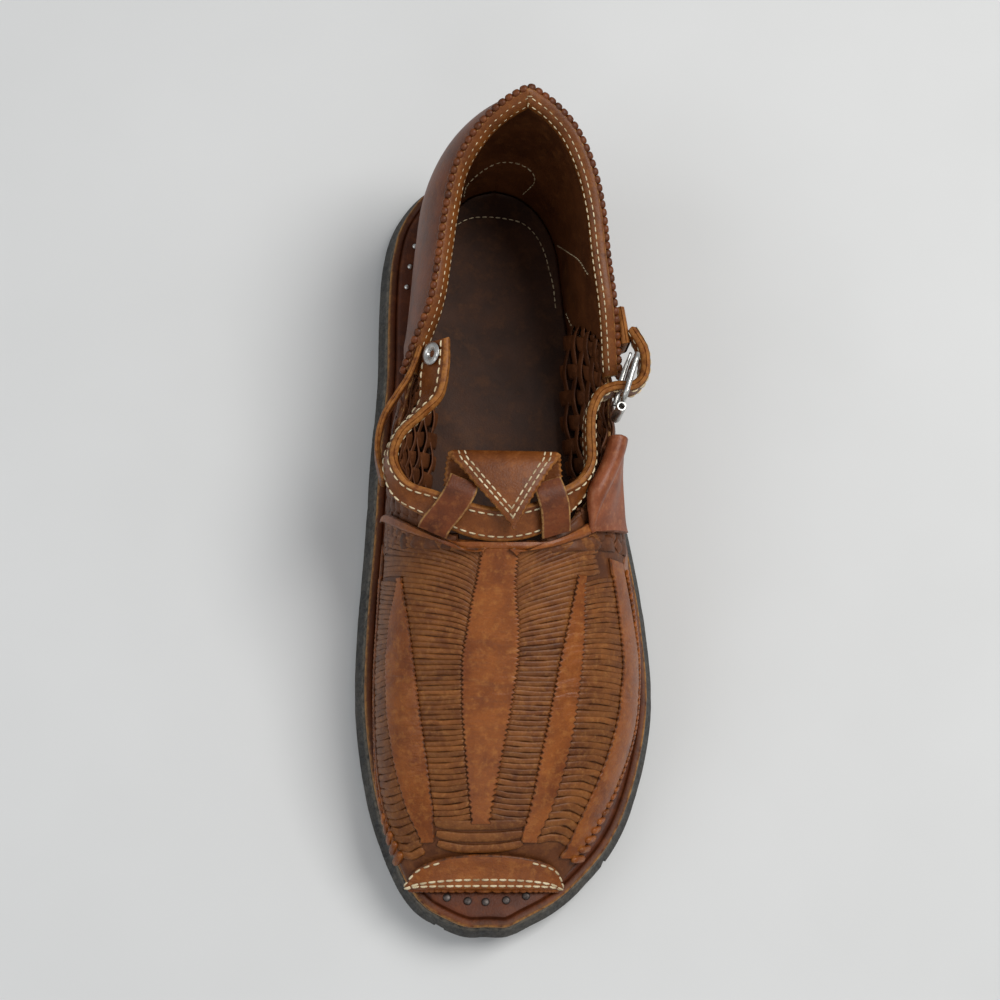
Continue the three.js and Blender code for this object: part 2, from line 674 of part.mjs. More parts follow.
// The insole lies inside the foot line of the upper
function insoleSolid() {
  const inside = WALL + 3 * GAP;
  const edge = (side, i) => {
    const u = INSOLE_START + ((HEEL_BACK - INSOLE_START) * i) / INSOLE_STATIONS;
    return surface(side, u, 0, -inside);
  };
  const loop = [];
  for (let i = 0; i <= INSOLE_STATIONS; i += 1) loop.push(edge(MEDIAL, i));
  for (let i = INSOLE_STATIONS - 1; i >= 0; i -= 1) loop.push(edge(LATERAL, i));
  const middle = across(INSOLE_MIDDLE);
  const ring = (z, pull) => loop.map((p) => (
    new THREE.Vector3(p.x + Math.sign(middle - p.x) * pull, p.y, p.z + z)));
  return loft([ring(0, 0), ring(INSOLE_THICKNESS - 0.5, 0), ring(INSOLE_THICKNESS, 0.6)], false);
}

// Overlay on the upper, between two distances from its surface
function overlay(grid, from, to) {
  const at = (offset) => grid.map((row) => row.map((q) => {
    const p = surface(q.side, q.u, q.v, offset + (q.out ?? 0));
    return p.add(new THREE.Vector3(0, 0, q.up ?? 0));
  }));
  return sheet(at(to), at(from));
}

// Counter: its front edges lean back from the topline down, its rim is cut into beads
function counterSolid() {
  const count = 2 * Math.round((COUNTER.reach * SHOE_LENGTH) / COUNTER_BEAD);
  const lines = [0, 0.12, 0.3, 0.5, 0.7, 0.88, 1];
  const row = (side, i) => {
    const cells = lines.map((v) => {
      const start = THROAT + COUNTER.wing + COUNTER.lean * (1 - v);
      return { side, u: start + ((HEEL_BACK - start) * i) / count, v };
    });
    const rim = { ...cells[cells.length - 1], up: COUNTER_RIM + (i % 2 ? COUNTER_BEAD_HEIGHT : 0) };
    return [...cells, rim];
  };
  const grid = [];
  for (let i = 0; i <= count; i += 1) grid.push(row(MEDIAL, i));
  for (let i = count - 1; i >= 0; i -= 1) grid.push(row(LATERAL, i));
  return overlay(grid, COUNTER_GAP, COUNTER_GAP + OVERLAY);
}

// Lateral side strap: it rises out of the wall behind the throat and stands up towards the buckle
function lateralStrapSolid() {
  const count = 14;
  const grid = [];
  for (let i = 0; i <= count; i += 1) {
    const t = i / count;
    const rise = Math.sin((Math.PI / 2) * Math.min(1, t / 0.7));
    const high = LATERAL_STRAP.topFront + (1 - LATERAL_STRAP.topFront) * rise;
    const low = LATERAL_STRAP.lowFront + LATERAL_STRAP.lowRise * t;
    const u = THROAT + LATERAL_STRAP.from + (LATERAL_STRAP.to - LATERAL_STRAP.from) * t;
    const lift = STRAP_LIFT * t ** 3;
    const row = [0, 0.4, 0.75, 1].map((k) => ({
      side: LATERAL, u, v: low + (high - low) * k, up: lift, out: STRAP_BULGE * k * k }));
    const stand = STRAP_STAND * (1 + t) * (0.2 + 0.8 * smooth(0.2, 0.6, t));
    grid.push([...row, { side: LATERAL, u, v: high, up: lift + stand, out: STRAP_BULGE * 0.7 }]);
  }
  return overlay(grid, GAP + STRIP_RAISE, GAP + STRIP_RAISE + SIDE_STRAP);
}

function medialStrapSolid() {
  return bandSolid(MEDIAL_STRAP, SIDE_STRAP, 16);
}

// Toe patch: a lens over the front of the vamp, with its pinked edge lying on the midsole
function toePatchSolid() {
  const count = 20;
  const base = GAP + 0.2;
  const raise = new THREE.Vector3(0, -0.3, PATCH_THICKNESS);
  const outer = [];
  const inner = [];
  for (let i = 0; i <= count; i += 1) {
    const s = (2 * i) / count - 1;
    const side = s < 0 ? MEDIAL : LATERAL;
    const v = 1 - Math.abs(s) * (1 - PATCH.ends);
    const top = PATCH.start + PATCH.reach * (1 - s * s) ** 0.8;
    const front = surface(side, 0, v, 0);
    const floor = midsoleTop(share(front.y - PATCH_TAB)) + GAP;
    const tab = new THREE.Vector3(front.x, front.y - PATCH_TAB + (i % 2 ? PATCH.notch : 0), floor);
    const knee = new THREE.Vector3(front.x, front.y - 0.5, front.z + GAP);
    const lie = (offset) => [0, 0.35, 0.7, 1].map((k) => surface(side, 0.02 + top * k, v, offset));
    inner.push([tab, knee, ...lie(base)]);
    outer.push([tab.clone().add(raise), knee.clone().add(raise), ...lie(base + PATCH_THICKNESS)]);
  }
  return sheet(outer, inner);
}

// A strap through two edge curves, with thickness to both sides
function ribbon(low, high, thickness, steps) {
  const a = new THREE.CatmullRomCurve3(low, false, "centripetal").getPoints(steps);
  const b = new THREE.CatmullRomCurve3(high, false, "centripetal").getPoints(steps);
  const outer = [];
  const inner = [];
  for (let i = 0; i <= steps; i += 1) {
    const from = Math.max(i - 1, 0);
    const to = Math.min(i + 1, steps);
    const run = a[to].clone().add(b[to]).sub(a[from]).sub(b[from]);
    const normal = run.cross(b[i].clone().sub(a[i])).normalize().multiplyScalar(thickness / 2);
    const mid = a[i].clone().lerp(b[i], 0.5);
    outer.push([a[i], mid, b[i]].map((p) => p.clone().add(normal)));
    inner.push([a[i], mid, b[i]].map((p) => p.clone().sub(normal)));
  }
  return sheet(outer, inner);
}

function collarPoint(x, y, height) {
  return new THREE.Vector3(across(x), lengthwise(y), midsoleTop(0.4) + INSTEP_HEIGHT * height);
}

// An upright band from a table of its edges
function bandSolid(rows, thickness, steps) {
  const low = rows.map((r) => collarPoint(r.x, r.y, r.low));
  const high = rows.map((r) => collarPoint(r.x, r.y, r.high));
  return ribbon(low, high, thickness, steps);
}

function collarSolid() {
  const low = COLLAR.map((r) => collarPoint(r.x, r.y, r.low));
  const high = COLLAR.map((r) => collarPoint(r.highX, r.highY, r.high));
  const radius = EYELET_HOLE / 2 + GAP;
  const hole = placeInEyelet(new THREE.CylinderGeometry(radius, radius, 4 * STRAP_THICKNESS, 16));
  const band = toManifold(ribbon(low, high, STRAP_THICKNESS, 60));
  return fromManifold(band.subtract(toManifold(hole)).subtract(toManifold(prongSolid(PRONG / 2 + GAP))));
}

// Turns a piece that stands along Y into the eyelet's place, square to the band's leaning end
function placeInEyelet(geometry) {
  const [end, next] = COLLAR;
  const y = (end.y + next.y) / 2;
  const low = collarPoint((end.x + next.x) / 2, y, (end.low + next.low) / 2);
  const high = collarPoint((end.highX + next.highX) / 2, y, (end.high + next.high) / 2);
  geometry.rotateZ(Math.PI / 2);
  geometry.rotateY(Math.atan2(high.x - low.x, high.z - low.z));
  const at = low.lerp(high, 0.5);
  geometry.translate(at.x, at.y, at.z);
  return geometry;
}

// Metal eyelet: a tube through the band with a rolled rim on the outside face
function eyeletSolid() {
  const r = EYELET_HOLE / 2;
  const half = STRAP_THICKNESS / 2;
  const bore = r - EYELET_WALL;
  const under = half + GAP + 0.35;
  const over = under + 0.75;
  const points = [
    new THREE.Vector2(bore, -half - 0.6),
    new THREE.Vector2(r, -half - 0.6),
    new THREE.Vector2(r, under),
    new THREE.Vector2(EYELET_RIM / 2, under),
    new THREE.Vector2(EYELET_RIM / 2 - 0.5, over),
    new THREE.Vector2(bore, over),
    new THREE.Vector2(bore, -half - 0.6),
  ];
  return tidy(placeInEyelet(new THREE.LatheGeometry(points, 20)));
}

function tidy(geometry) {
  geometry.deleteAttribute("normal");
  geometry.deleteAttribute("uv");
  return dropSlivers(mergeVertices(geometry, 1e-4));
}

// Tongue flap: folded over behind the collar band, its point lying on the band
function flapSolid() {
  const level = midsoleTop(0.4) + INSTEP_HEIGHT;
  const line = new THREE.CatmullRomCurve3(FLAP.map((r) => (
    new THREE.Vector3(across(FLAP_MIDDLE + r.across), lengthwise(r.along), level + INSTEP_HEIGHT * r.up))));
  const steps = 18;
  const outer = [];
  const inner = [];
  for (let i = 0; i <= steps; i += 1) {
    const p = line.getPoint(i / steps);
    const t = line.getTangent(i / steps);
    const normal = new THREE.Vector3(0, -t.z, t.y).normalize().multiplyScalar(FLAP_THICKNESS / 2);
    const half = FLAP_HALF * column(FLAP, "width", (i / steps) * (FLAP.length - 1));
    const row = [-1, -0.5, 0, 0.5, 1].map((s) => new THREE.Vector3(p.x + s * half, p.y, p.z));
    outer.push(row.map((q) => q.clone().sub(normal)));
    inner.push(row.map((q) => q.clone().add(normal)));
  }
  return sheet(outer, inner);
}

// Keeper straps: from under the flap, over the collar band, down to the vamp
function keeperSolid(keeper) {
  const level = midsoleTop(0.4) + INSTEP_HEIGHT;
  const mid = KEEPER_LINE.map((r, i) => (
    new THREE.Vector3(across(keeper.across[i]), lengthwise(r.along), level + INSTEP_HEIGHT * r.up)));
  const spread = new THREE.Vector3(KEEPER_WIDTH / 2, keeper.skew, 0);
  const low = mid.map((p) => p.clone().sub(spread));
  const high = mid.map((p) => p.clone().add(spread));
  return ribbon(low, high, KEEPER_THICKNESS, 10);
}

// Buckle: a wire frame seen edge-on, which the band's end passes through
function buckleFrameSolid() {
  const halfWidth = BUCKLE_WIDTH / 2;
  const halfLength = BUCKLE_LENGTH / 2;
  const r = FRAME_CORNER;
  const shape = new THREE.Shape();
  shape.moveTo(-halfLength + r, -halfWidth);
  shape.lineTo(halfLength - r, -halfWidth);
  shape.absarc(halfLength - r, -halfWidth + r, r, -Math.PI / 2, 0);
  shape.lineTo(halfLength, halfWidth - r);
  shape.absarc(halfLength - r, halfWidth - r, r, 0, Math.PI / 2);
  shape.lineTo(-halfLength + r, halfWidth);
  shape.absarc(-halfLength + r, halfWidth - r, r, Math.PI / 2, Math.PI);
  shape.lineTo(-halfLength, -halfWidth + r);
  shape.absarc(-halfLength + r, -halfWidth + r, r, Math.PI, 1.5 * Math.PI);
  const hole = new THREE.Path();
  hole.moveTo(-halfLength + WIRE, -halfWidth + WIRE);
  hole.lineTo(-halfLength + WIRE, halfWidth - WIRE);
  hole.lineTo(halfLength - WIRE, halfWidth - WIRE);
  hole.lineTo(halfLength - WIRE, -halfWidth + WIRE);
  hole.closePath();
  shape.holes.push(hole);
  const geometry = new THREE.ExtrudeGeometry(shape, { depth: FRAME_DEPTH, bevelEnabled: false, curveSegments: 4 });
  geometry.translate(0, 0, -FRAME_DEPTH / 2);
  return placeOnBuckle(geometry);
}

function placeOnBuckle(geometry) {
  geometry.rotateX(Math.PI / 2);
  geometry.rotateZ(BUCKLE.turn);
  const at = collarPoint(BUCKLE.x, BUCKLE.y, BUCKLE.height);
  geometry.translate(at.x, at.y, at.z);
  return tidy(geometry);
}

// Prong: pivots on the front bar and lies over the rear bar, through a hole in the band
function prongSolid(radius) {
  const half = BUCKLE_LENGTH / 2;
  const lift = -FRAME_DEPTH / 2 - PRONG / 2 - GAP;
  const path = new THREE.CatmullRomCurve3([
    new THREE.Vector3(-half - 0.2, 0, lift),
    new THREE.Vector3(0, 0, lift - PRONG_BOW),
    new THREE.Vector3(half + 0.6, 0, lift),
  ]);
  const round = new THREE.Shape();
  round.absarc(0, 0, radius, 0, 2 * Math.PI);
  const geometry = new THREE.ExtrudeGeometry(round, { steps: 6, extrudePath: path, curveSegments: 4 });
  return placeOnBuckle(geometry);
}

// Roller: a tube before the front bar, held by the end of the side strap
function rollerSolid() {
  const r = ROLLER / 2;
  const bore = r - ROLLER_WALL;
  const half = BUCKLE_WIDTH / 2 - 1.5;
  const points = [
    new THREE.Vector2(bore, -half),
    new THREE.Vector2(r, -half),
    new THREE.Vector2(r, half),
    new THREE.Vector2(bore, half),
    new THREE.Vector2(bore, -half),
  ];
  const geometry = new THREE.LatheGeometry(points, 12);
  geometry.translate(-BUCKLE_LENGTH / 2 - r - GAP, 0, 0);
  return placeOnBuckle(geometry);
}

// Anchor: a folded double strap on the outside of the counter, behind the buckle
function anchorSolid() {
  return bandSolid(ANCHOR, ANCHOR_THICKNESS, 8);
}

function addNails() {
  TOE_NAILS.forEach((r, i) => (
    add(`toe_nail_${i + 1}`, nailSolid(across(r.x), lengthwise(r.along), NAIL_HEAD / 2), NAIL_METAL)));
  HEEL_NAILS.forEach((along, i) => {
    const foot = surface(MEDIAL, THROAT + 1 + rowAt(SIDES, "foot", along), 0, NAIL_SETBACK);
    add(`heel_nail_${i + 1}`, nailSolid(foot.x, foot.y, NAIL_HEAD / 2 - 0.4), METAL);
  });
}

// Nails round the toe and the heel, headed down on the midsole
function nailSolid(x, y, radius) {
  const points = [
    new THREE.Vector2(0, NAIL_SEAT),
    new THREE.Vector2(radius, NAIL_SEAT),
    new THREE.Vector2(radius * 0.8, NAIL_PROUD * 0.7),
    new THREE.Vector2(0, NAIL_PROUD),
  ];
  const geometry = new THREE.LatheGeometry(points, 10);
  geometry.rotateX(Math.PI / 2 + Math.atan2(midsoleTop(share(y + 1)) - midsoleTop(share(y - 1)), 2));
  geometry.translate(x, y, midsoleTop(share(y)));
  return tidy(geometry);
}

// Finishes
const finish = (color, roughness, metalness = 0) => () => (
  new THREE.MeshStandardMaterial({ color, roughness, metalness }));
const LEATHER = finish(0x9a5a2c, 0.5);
const BAND_LEATHER = finish(0xa8642f, 0.5);
const SOLE_LEATHER = finish(0x5a2a16, 0.35);
const INSOLE_LEATHER = finish(0x4a2c1c, 0.6);
const RUBBER = finish(0x3a3d40, 0.9);
const METAL = finish(0xc8c8c8, 0.3, 1);
const NAIL_METAL = finish(0x57504a, 0.45, 1);

const shoe = new THREE.Group();

function add(name, geometry, material) {
  const mesh = new THREE.Mesh(geometry, material());
  mesh.name = name;
  shoe.add(mesh);
}

add("outsole", outsoleSolid(), RUBBER);
add("midsole", midsoleSolid(), SOLE_LEATHER);
add("insole", insoleSolid(), INSOLE_LEATHER);
add("upper", upperSolid(), LEATHER);
add("heel_counter", counterSolid(), LEATHER);
add("toe_patch", toePatchSolid(), BAND_LEATHER);
add("collar_band", collarSolid(), BAND_LEATHER);
add("tongue_flap", flapSolid(), BAND_LEATHER);
add("keeper_strap_medial", keeperSolid(KEEPERS.medial), LEATHER);
add("keeper_strap_lateral", keeperSolid(KEEPERS.lateral), LEATHER);
add("side_strap_medial", medialStrapSolid(), LEATHER);
add("side_strap_lateral", lateralStrapSolid(), LEATHER);
add("eyelet", eyeletSolid(), METAL);
add("buckle_frame", buckleFrameSolid(), METAL);
add("buckle_prong", prongSolid(PRONG / 2), METAL);
add("buckle_roller", rollerSolid(), METAL);
add("buckle_anchor", anchorSolid(), BAND_LEATHER);
addNails();

// The origin is under the middle of the shoe's box, on the floor
const box = new THREE.Box3().setFromObject(shoe);
shoe.position.set(-(box.min.x + box.max.x) / 2, -(box.min.y + box.max.y) / 2, -box.min.z);

export default shoe;
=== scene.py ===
"""A left huarache shoe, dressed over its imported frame.

The shoe's own millimetres have +Z up, the toe towards -Y and the buckle side towards +X. Every piece is
worked out on the surface of the last in those millimetres, and is put into the frame, in metres, at the end.
"""

import logging
import math
from dataclasses import dataclass, field
from enum import Enum
from typing import Callable, Sequence

import bmesh
import bpy
import numpy as np
from mathutils import Matrix, Vector


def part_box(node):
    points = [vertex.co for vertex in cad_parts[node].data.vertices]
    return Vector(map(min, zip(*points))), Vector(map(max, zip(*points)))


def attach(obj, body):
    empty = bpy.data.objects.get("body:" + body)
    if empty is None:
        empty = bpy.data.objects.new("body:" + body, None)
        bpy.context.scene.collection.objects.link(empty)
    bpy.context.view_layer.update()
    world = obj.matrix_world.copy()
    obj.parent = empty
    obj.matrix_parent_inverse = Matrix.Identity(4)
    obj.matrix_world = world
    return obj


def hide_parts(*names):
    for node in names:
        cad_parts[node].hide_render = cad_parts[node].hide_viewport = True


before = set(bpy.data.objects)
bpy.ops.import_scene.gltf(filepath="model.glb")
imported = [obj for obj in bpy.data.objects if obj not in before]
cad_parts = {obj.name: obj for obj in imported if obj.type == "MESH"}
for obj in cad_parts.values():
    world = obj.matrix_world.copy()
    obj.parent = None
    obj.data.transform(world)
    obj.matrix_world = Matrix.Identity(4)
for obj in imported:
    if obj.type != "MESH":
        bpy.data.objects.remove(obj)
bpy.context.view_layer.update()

MILLIMETRE = 0.001
SEED = 7
Array = np.ndarray

log = logging.getLogger("huarache")


class Side(Enum):
    """The two halves of the shoe."""

    MEDIAL = -1
    LATERAL = 1


class Face(Enum):
    """The two faces of a strap."""

    INNER = -1
    OUTER = 1


# Shared sums and steps


def into_scene(thing: bpy.types.Object) -> None:
    """Link an object to the scene."""
    bpy.context.scene.collection.objects.link(thing)


def face_out(mesh: bpy.types.Mesh) -> None:
    """Turn a mesh's faces outwards and shade them smoothly."""
    work = bmesh.new()
    work.from_mesh(mesh)
    bmesh.ops.recalc_face_normals(work, faces=work.faces)
    work.to_mesh(mesh)
    work.free()
    mesh.shade_smooth()


def smooth(start: float, stop: float, x: Array) -> Array:
    """Ease from 0 at start to 1 at stop.

    Args:
        start: Where the ease begins.
        stop: Where it ends.
        x: Values to ease.

    Returns:
        The eased values.
    """
    t = np.clip((np.asarray(x, float) - start) / (stop - start), 0, 1)
    return t * t * (3 - 2 * t)


def unit(vectors: Array) -> Array:
    """Vectors scaled to length one."""
    return vectors / np.maximum(np.linalg.norm(vectors, axis=-1, keepdims=True), 1e-9)


def column(rows: Array, at: Array) -> Array:
    """Read one column of a table along a smooth curve.

    Args:
        rows: The column's values.
        at: Fractional rows.

    Returns:
        The values at those rows.
    """
    rows = np.asarray(rows, float)
    at = np.asarray(at, float)
    i = np.clip(np.floor(at).astype(int), 0, len(rows) - 2)
    t = at - i
    before, here, after, beyond = (rows[np.clip(i + k, 0, len(rows) - 1)] for k in (-1, 0, 1, 2))
    slope_in = (after - before) / 2
    slope_out = (beyond - here) / 2
    square, cube = t * t, t * t * t
    return ((2 * cube - 3 * square + 1) * here + (cube - 2 * square + t) * slope_in
            + (3 * square - 2 * cube) * after + (cube - square) * slope_out)


def spline(stops: Array, count: int, closed: bool = False) -> Array:
    """A centripetal curve through points.

    Args:
        stops: Points, one to a row.
        count: How many points to return.
        closed: Whether the curve returns to its start.

    Returns:
        Points at even steps of the curve's own parameter.
    """
    stops = np.asarray(stops, float)
    n = len(stops)
    spans = n if closed else n - 1
    at = np.linspace(0, spans, count, endpoint=not closed)
    i = np.minimum(at.astype(int), spans - 1)
    t = (at - i)[:, None]
    if closed:
        p = [stops[(i + k) % n] for k in (-1, 0, 1, 2)]
    else:
        ends = np.vstack([2 * stops[0] - stops[1], stops, 2 * stops[-1] - stops[-2]])
        p = [ends[i + k] for k in (0, 1, 2, 3)]
    gap = [np.maximum(np.linalg.norm(p[k + 1] - p[k], axis=1)[:, None], 1e-6) ** 0.5 for k in range(3)]
    slope_in = (p[1] - p[0]) / gap[0] - (p[2] - p[0]) / (gap[0] + gap[1]) + (p[2] - p[1]) / gap[1]
    slope_out = (p[2] - p[1]) / gap[1] - (p[3] - p[1]) / (gap[1] + gap[2]) + (p[3] - p[2]) / gap[2]
    slope_in, slope_out = slope_in * gap[1], slope_out * gap[1]
    square, cube = t * t, t * t * t
    return ((2 * cube - 3 * square + 1) * p[1] + (cube - 2 * square + t) * slope_in
            + (3 * square - 2 * cube) * p[2] + (cube - square) * slope_out)


def evenly(line: Array, count: int) -> Array:
    """Points at even distances along a polyline.

    Args:
        line: The polyline's points.
        count: How many points to return.

    Returns:
        The spaced points, both ends included.
    """
    run = np.concatenate([[0], np.cumsum(np.linalg.norm(np.diff(line, axis=0), axis=1))])
    at = np.linspace(0, run[-1], count)
    return np.stack([np.interp(at, run, line[:, k]) for k in range(line.shape[1])], -1)


def ripple(at: Array, seed: int, waves: int = 5) -> Array:
    """A smooth random wave between about -1 and 1.

    Args:
        at: Where to read the wave, in radians.
        seed: The wave's fixed seed.
        waves: How many sine waves are added.

    Returns:
        The wave's height.
    """
    random = np.random.default_rng(seed)
    total = np.zeros_like(np.asarray(at, float))
    for k in range(1, waves + 1):
        total += np.sin(at * k * random.uniform(0.7, 1.3) + random.uniform(0, 2 * math.pi)) / k
    return total / 1.6


def grid_normals(grid: Array, towards: Array) -> Array:
    """Normals of a grid of points.

    Args:
        grid: Points, rows by columns by three.
        towards: The side on which the normals lie, on average.

    Returns:
        One normal for each point.
    """
    normals = unit(np.cross(np.gradient(grid, axis=0), np.gradient(grid, axis=1)))
    if (normals * towards).sum() < 0:
        normals = -normals
    return normals


# The last


@dataclass
class Last:
    """The form inside the shoe, which every piece of the upper is worked out from."""

    length: float = 285.0
    ball: float = 106.0
    instep: float = 56.0
    toe_line: float = -138.0
    outsole: float = 12.0
    midsole: float = 6.0
    midsole_step: float = 0.8
    gap: float = 0.3
    foot_gap: float = 0.4
    heel_rise: float = 3.0
    toe_spring: float = 7.0
    arch_relief: float = 2.0
    turn: float = 0.03
    side_turn: float = 0.62
    # along, medial, lateral, ridge, height, square, fullness medial, fullness lateral
    vamp: Array = field(default_factory=lambda: np.array([
        (0.061, 0.358, 0.132, -0.113, 0.06, 2.6, 0.0, 0.0),
        (0.084, 0.387, 0.184, -0.118, 0.145, 2.5, 0.004, 0.0),
        (0.109, 0.41, 0.225, -0.127, 0.26, 2.4, 0.01, 0.004),
        (0.144, 0.434, 0.275, -0.134, 0.39, 2.3, 0.016, 0.008),
        (0.186, 0.453, 0.328, -0.136, 0.51, 2.25, 0.022, 0.01),
        (0.249, 0.464, 0.382, -0.136, 0.64, 2.2, 0.028, 0.012),
        (0.316, 0.467, 0.396, -0.132, 0.76, 2.2, 0.03, 0.014),
        (0.379, 0.46, 0.387, -0.123, 0.872, 2.2, 0.03, 0.014),
        (0.439, 0.453, 0.364, -0.099, 0.985, 2.25, 0.028, 0.014),
    ]))
    # foot, medial, lateral, top, top medial, top lateral, height, square, fullness
    sides: Array = field(default_factory=lambda: np.array([
        (0.462, 0.449, 0.352, 0.443, 0.2, -0.005, 0.985, 2.4, 0.024),
        (0.49, 0.444, 0.34, 0.461, 0.29, 0.09, 0.955, 2.5, 0.02),
        (0.52, 0.44, 0.331, 0.492, 0.37, 0.175, 0.9, 2.6, 0.016),
        (0.551, 0.434, 0.317, 0.53, 0.42, 0.235, 0.83, 2.7, 0.014),
        (0.586, 0.42, 0.299, 0.575, 0.437, 0.275, 0.74, 2.8, 0.012),
        (0.628, 0.406, 0.274, 0.625, 0.41, 0.282, 0.72, 2.8, 0.012),
        (0.674, 0.384, 0.247, 0.68, 0.36, 0.266, 0.84, 2.8, 0.012),
        (0.723, 0.363, 0.217, 0.733, 0.305, 0.247, 0.975, 2.8, 0.012),
        (0.779, 0.349, 0.192, 0.791, 0.28, 0.223, 1.036, 2.8, 0.012),
        (0.835, 0.335, 0.175, 0.844, 0.26, 0.203, 1.107, 2.8, 0.014),
        (0.883, 0.307, 0.156, 0.889, 0.231, 0.17, 1.179, 2.8, 0.026),
        (0.926, 0.255, 0.104, 0.927, 0.17, 0.118, 1.25, 2.8, 0.03),
        (0.955, 0.175, 0.02, 0.95, 0.099, 0.052, 1.321, 2.8, 0.034),
        (0.966, 0.08, -0.08, 0.9635, 0.023, -0.023, 1.393, 2.8, 0.036),
    ]))
    # along, medial, lateral
    sole: Array = field(default_factory=lambda: np.array([
        (0.0, 0.17, -0.03), (0.012, 0.255, 0.04), (0.028, 0.327, 0.123), (0.054, 0.384, 0.212),
        (0.107, 0.449, 0.335), (0.168, 0.499, 0.411), (0.276, 0.54, 0.472), (0.384, 0.537, 0.458),
        (0.484, 0.519, 0.415), (0.604, 0.503, 0.345), (0.7, 0.483, 0.292), (0.795, 0.481, 0.252),
        (0.865, 0.47, 0.231), (0.915, 0.437, 0.198), (0.965, 0.346, 0.104), (0.9916, 0.236, -0.009),
        (1.0, 0.16, -0.085),
    ]))

    @property
    def throat(self) -> int:
        """The place on the last where the closed vamp ends."""
        return len(self.vamp) - 1

    @property
    def heel(self) -> int:
        """The place on the last of the heel back."""
        return self.throat + len(self.sides)

    def across(self, share: Array) -> Array:
        """Millimetres across the shoe from a share of the ball's width."""
        return share * self.ball

    def lengthwise(self, share: Array) -> Array:
        """Millimetres along the shoe from a share of its length."""
        return self.toe_line + share * self.length

    def share(self, y: Array) -> Array:
        """The share of the shoe's length at a place along it."""
        return (y - self.toe_line) / self.length

    def spring(self, along: Array) -> Array:
        """Lift of the sole towards the toe."""
        return self.toe_spring * np.maximum(0, (0.17 - along) / 0.17) ** 1.8

    def rise(self, along: Array) -> Array:
        """Lift of the sole's upper face along the shoe."""
        return self.spring(along) + self.heel_rise * smooth(0.45, 0.75, along)

    def arch(self, along: Array) -> Array:
        """Relief under the arch."""
        return self.arch_relief * smooth(0.47, 0.53, along) * (1 - smooth(0.64, 0.7, along))

    def floor(self, along: Array) -> Array:
        """Height of the midsole's top, with its clearance."""
        return self.outsole + self.midsole + self.midsole_step + self.gap + self.rise(along)

    def place(self, along: Array) -> Array:
        """The place u on the last at shares of the length, half way up the side.

        Args:
            along: Shares of the shoe's length, up to just behind the throat.

        Returns:
            Places from 0 at the toe to the throat and on.
        """
        u = np.linspace(0, self.throat, 400)
        known = column(self.vamp[:, 0], u)
        behind = (self.sides[:4, 0] + self.sides[:4, 3]) / 2
        u = np.concatenate([u, self.throat + 1 + np.arange(4)])
        return np.interp(along, np.concatenate([known, behind]), u)

    def section(self, side: Side, u: Array) -> tuple[Array, ...]:
        """The last's cross-section at a place.

        Args:
            side: Which half.
            u: Places from the toe, 0, to the heel back.

        Returns:
            Foot x, y and z, top x and y, height, squareness and swell.
        """
        u = np.asarray(u, float)
        s = side.value
        half, top, full = (1, 4, 6) if side is Side.MEDIAL else (2, 5, 7)
        end = self.vamp[-1]
        start = [end[0], end[1], end[2], end[0], -end[3], end[3], end[4], end[5], end[full]]
        joined = np.vstack([start, self.sides])
        front = u <= self.throat
        a = np.where(front, u, 0)
        k = np.where(front, 0, u - self.throat)

        def read(first: Array, second: Array) -> Array:
            return np.where(front, column(first, a), column(second, k))

        foot = read(self.vamp[:, 0], joined[:, 0])
        upper = read(self.vamp[:, 0], joined[:, 3])
        foot_x = s * self.across(read(self.vamp[:, half], joined[:, half]))
        top_x = self.across(np.where(front, column(self.vamp[:, 3], a), s * column(joined[:, top], k)))
        height = self.instep * read(self.vamp[:, 4], joined[:, 6])
        square = read(self.vamp[:, 5], joined[:, 7])
        swell = self.across(read(self.vamp[:, full], joined[:, 8]))
        level = self.floor(foot) + self.foot_gap
        return foot_x, self.lengthwise(foot), level, top_x, self.lengthwise(upper), height, square, swell

    def bare(self, side: Side, u: Array, v: Array) -> Array:
        """Points of the last itself.

        Args:
            side: Which half.
            u: Places along the last.
            v: Places up the section, from the foot line, 0, to the top, 1.

        Returns:
            Points in millimetres.
        """
        u, v = np.broadcast_arrays(np.asarray(u, float), np.asarray(v, float))
        foot_x, foot_y, foot_z, top_x, top_y, height, square, swell = self.section(side, u)
        turn = (math.pi / 2) * (1 + (self.side_turn - 1) * smooth(self.throat, self.throat + 3, u))

        def curl(angle: Array) -> Array:
            return 1 - np.maximum(np.cos(angle), 0) ** (2 / square)

        def climb(angle: Array) -> Array:
            return np.maximum(np.sin(angle), 0) ** (2 / square)

        inward = curl(v * turn) / curl(turn)
        up = climb(v * turn) / climb(turn)
        ahead = self.section(side, np.minimum(u + 0.05, self.heel))
        before = self.section(side, np.maximum(u - 0.05, 0))
        run_x, run_y = ahead[0] - before[0], ahead[1] - before[1]
        run = np.hypot(run_x, run_y)
        out_x = np.where(u < self.heel, run_y / run * side.value, 0)
        out_y = np.where(u < self.heel, -run_x / run * side.value, 1)
        bulge = swell * np.sin(math.pi * v)
        return np.stack([
            foot_x + (top_x - foot_x) * inward + out_x * bulge,
            foot_y + (top_y - foot_y) * inward + out_y * bulge,
            foot_z + height * up,
        ], -1)

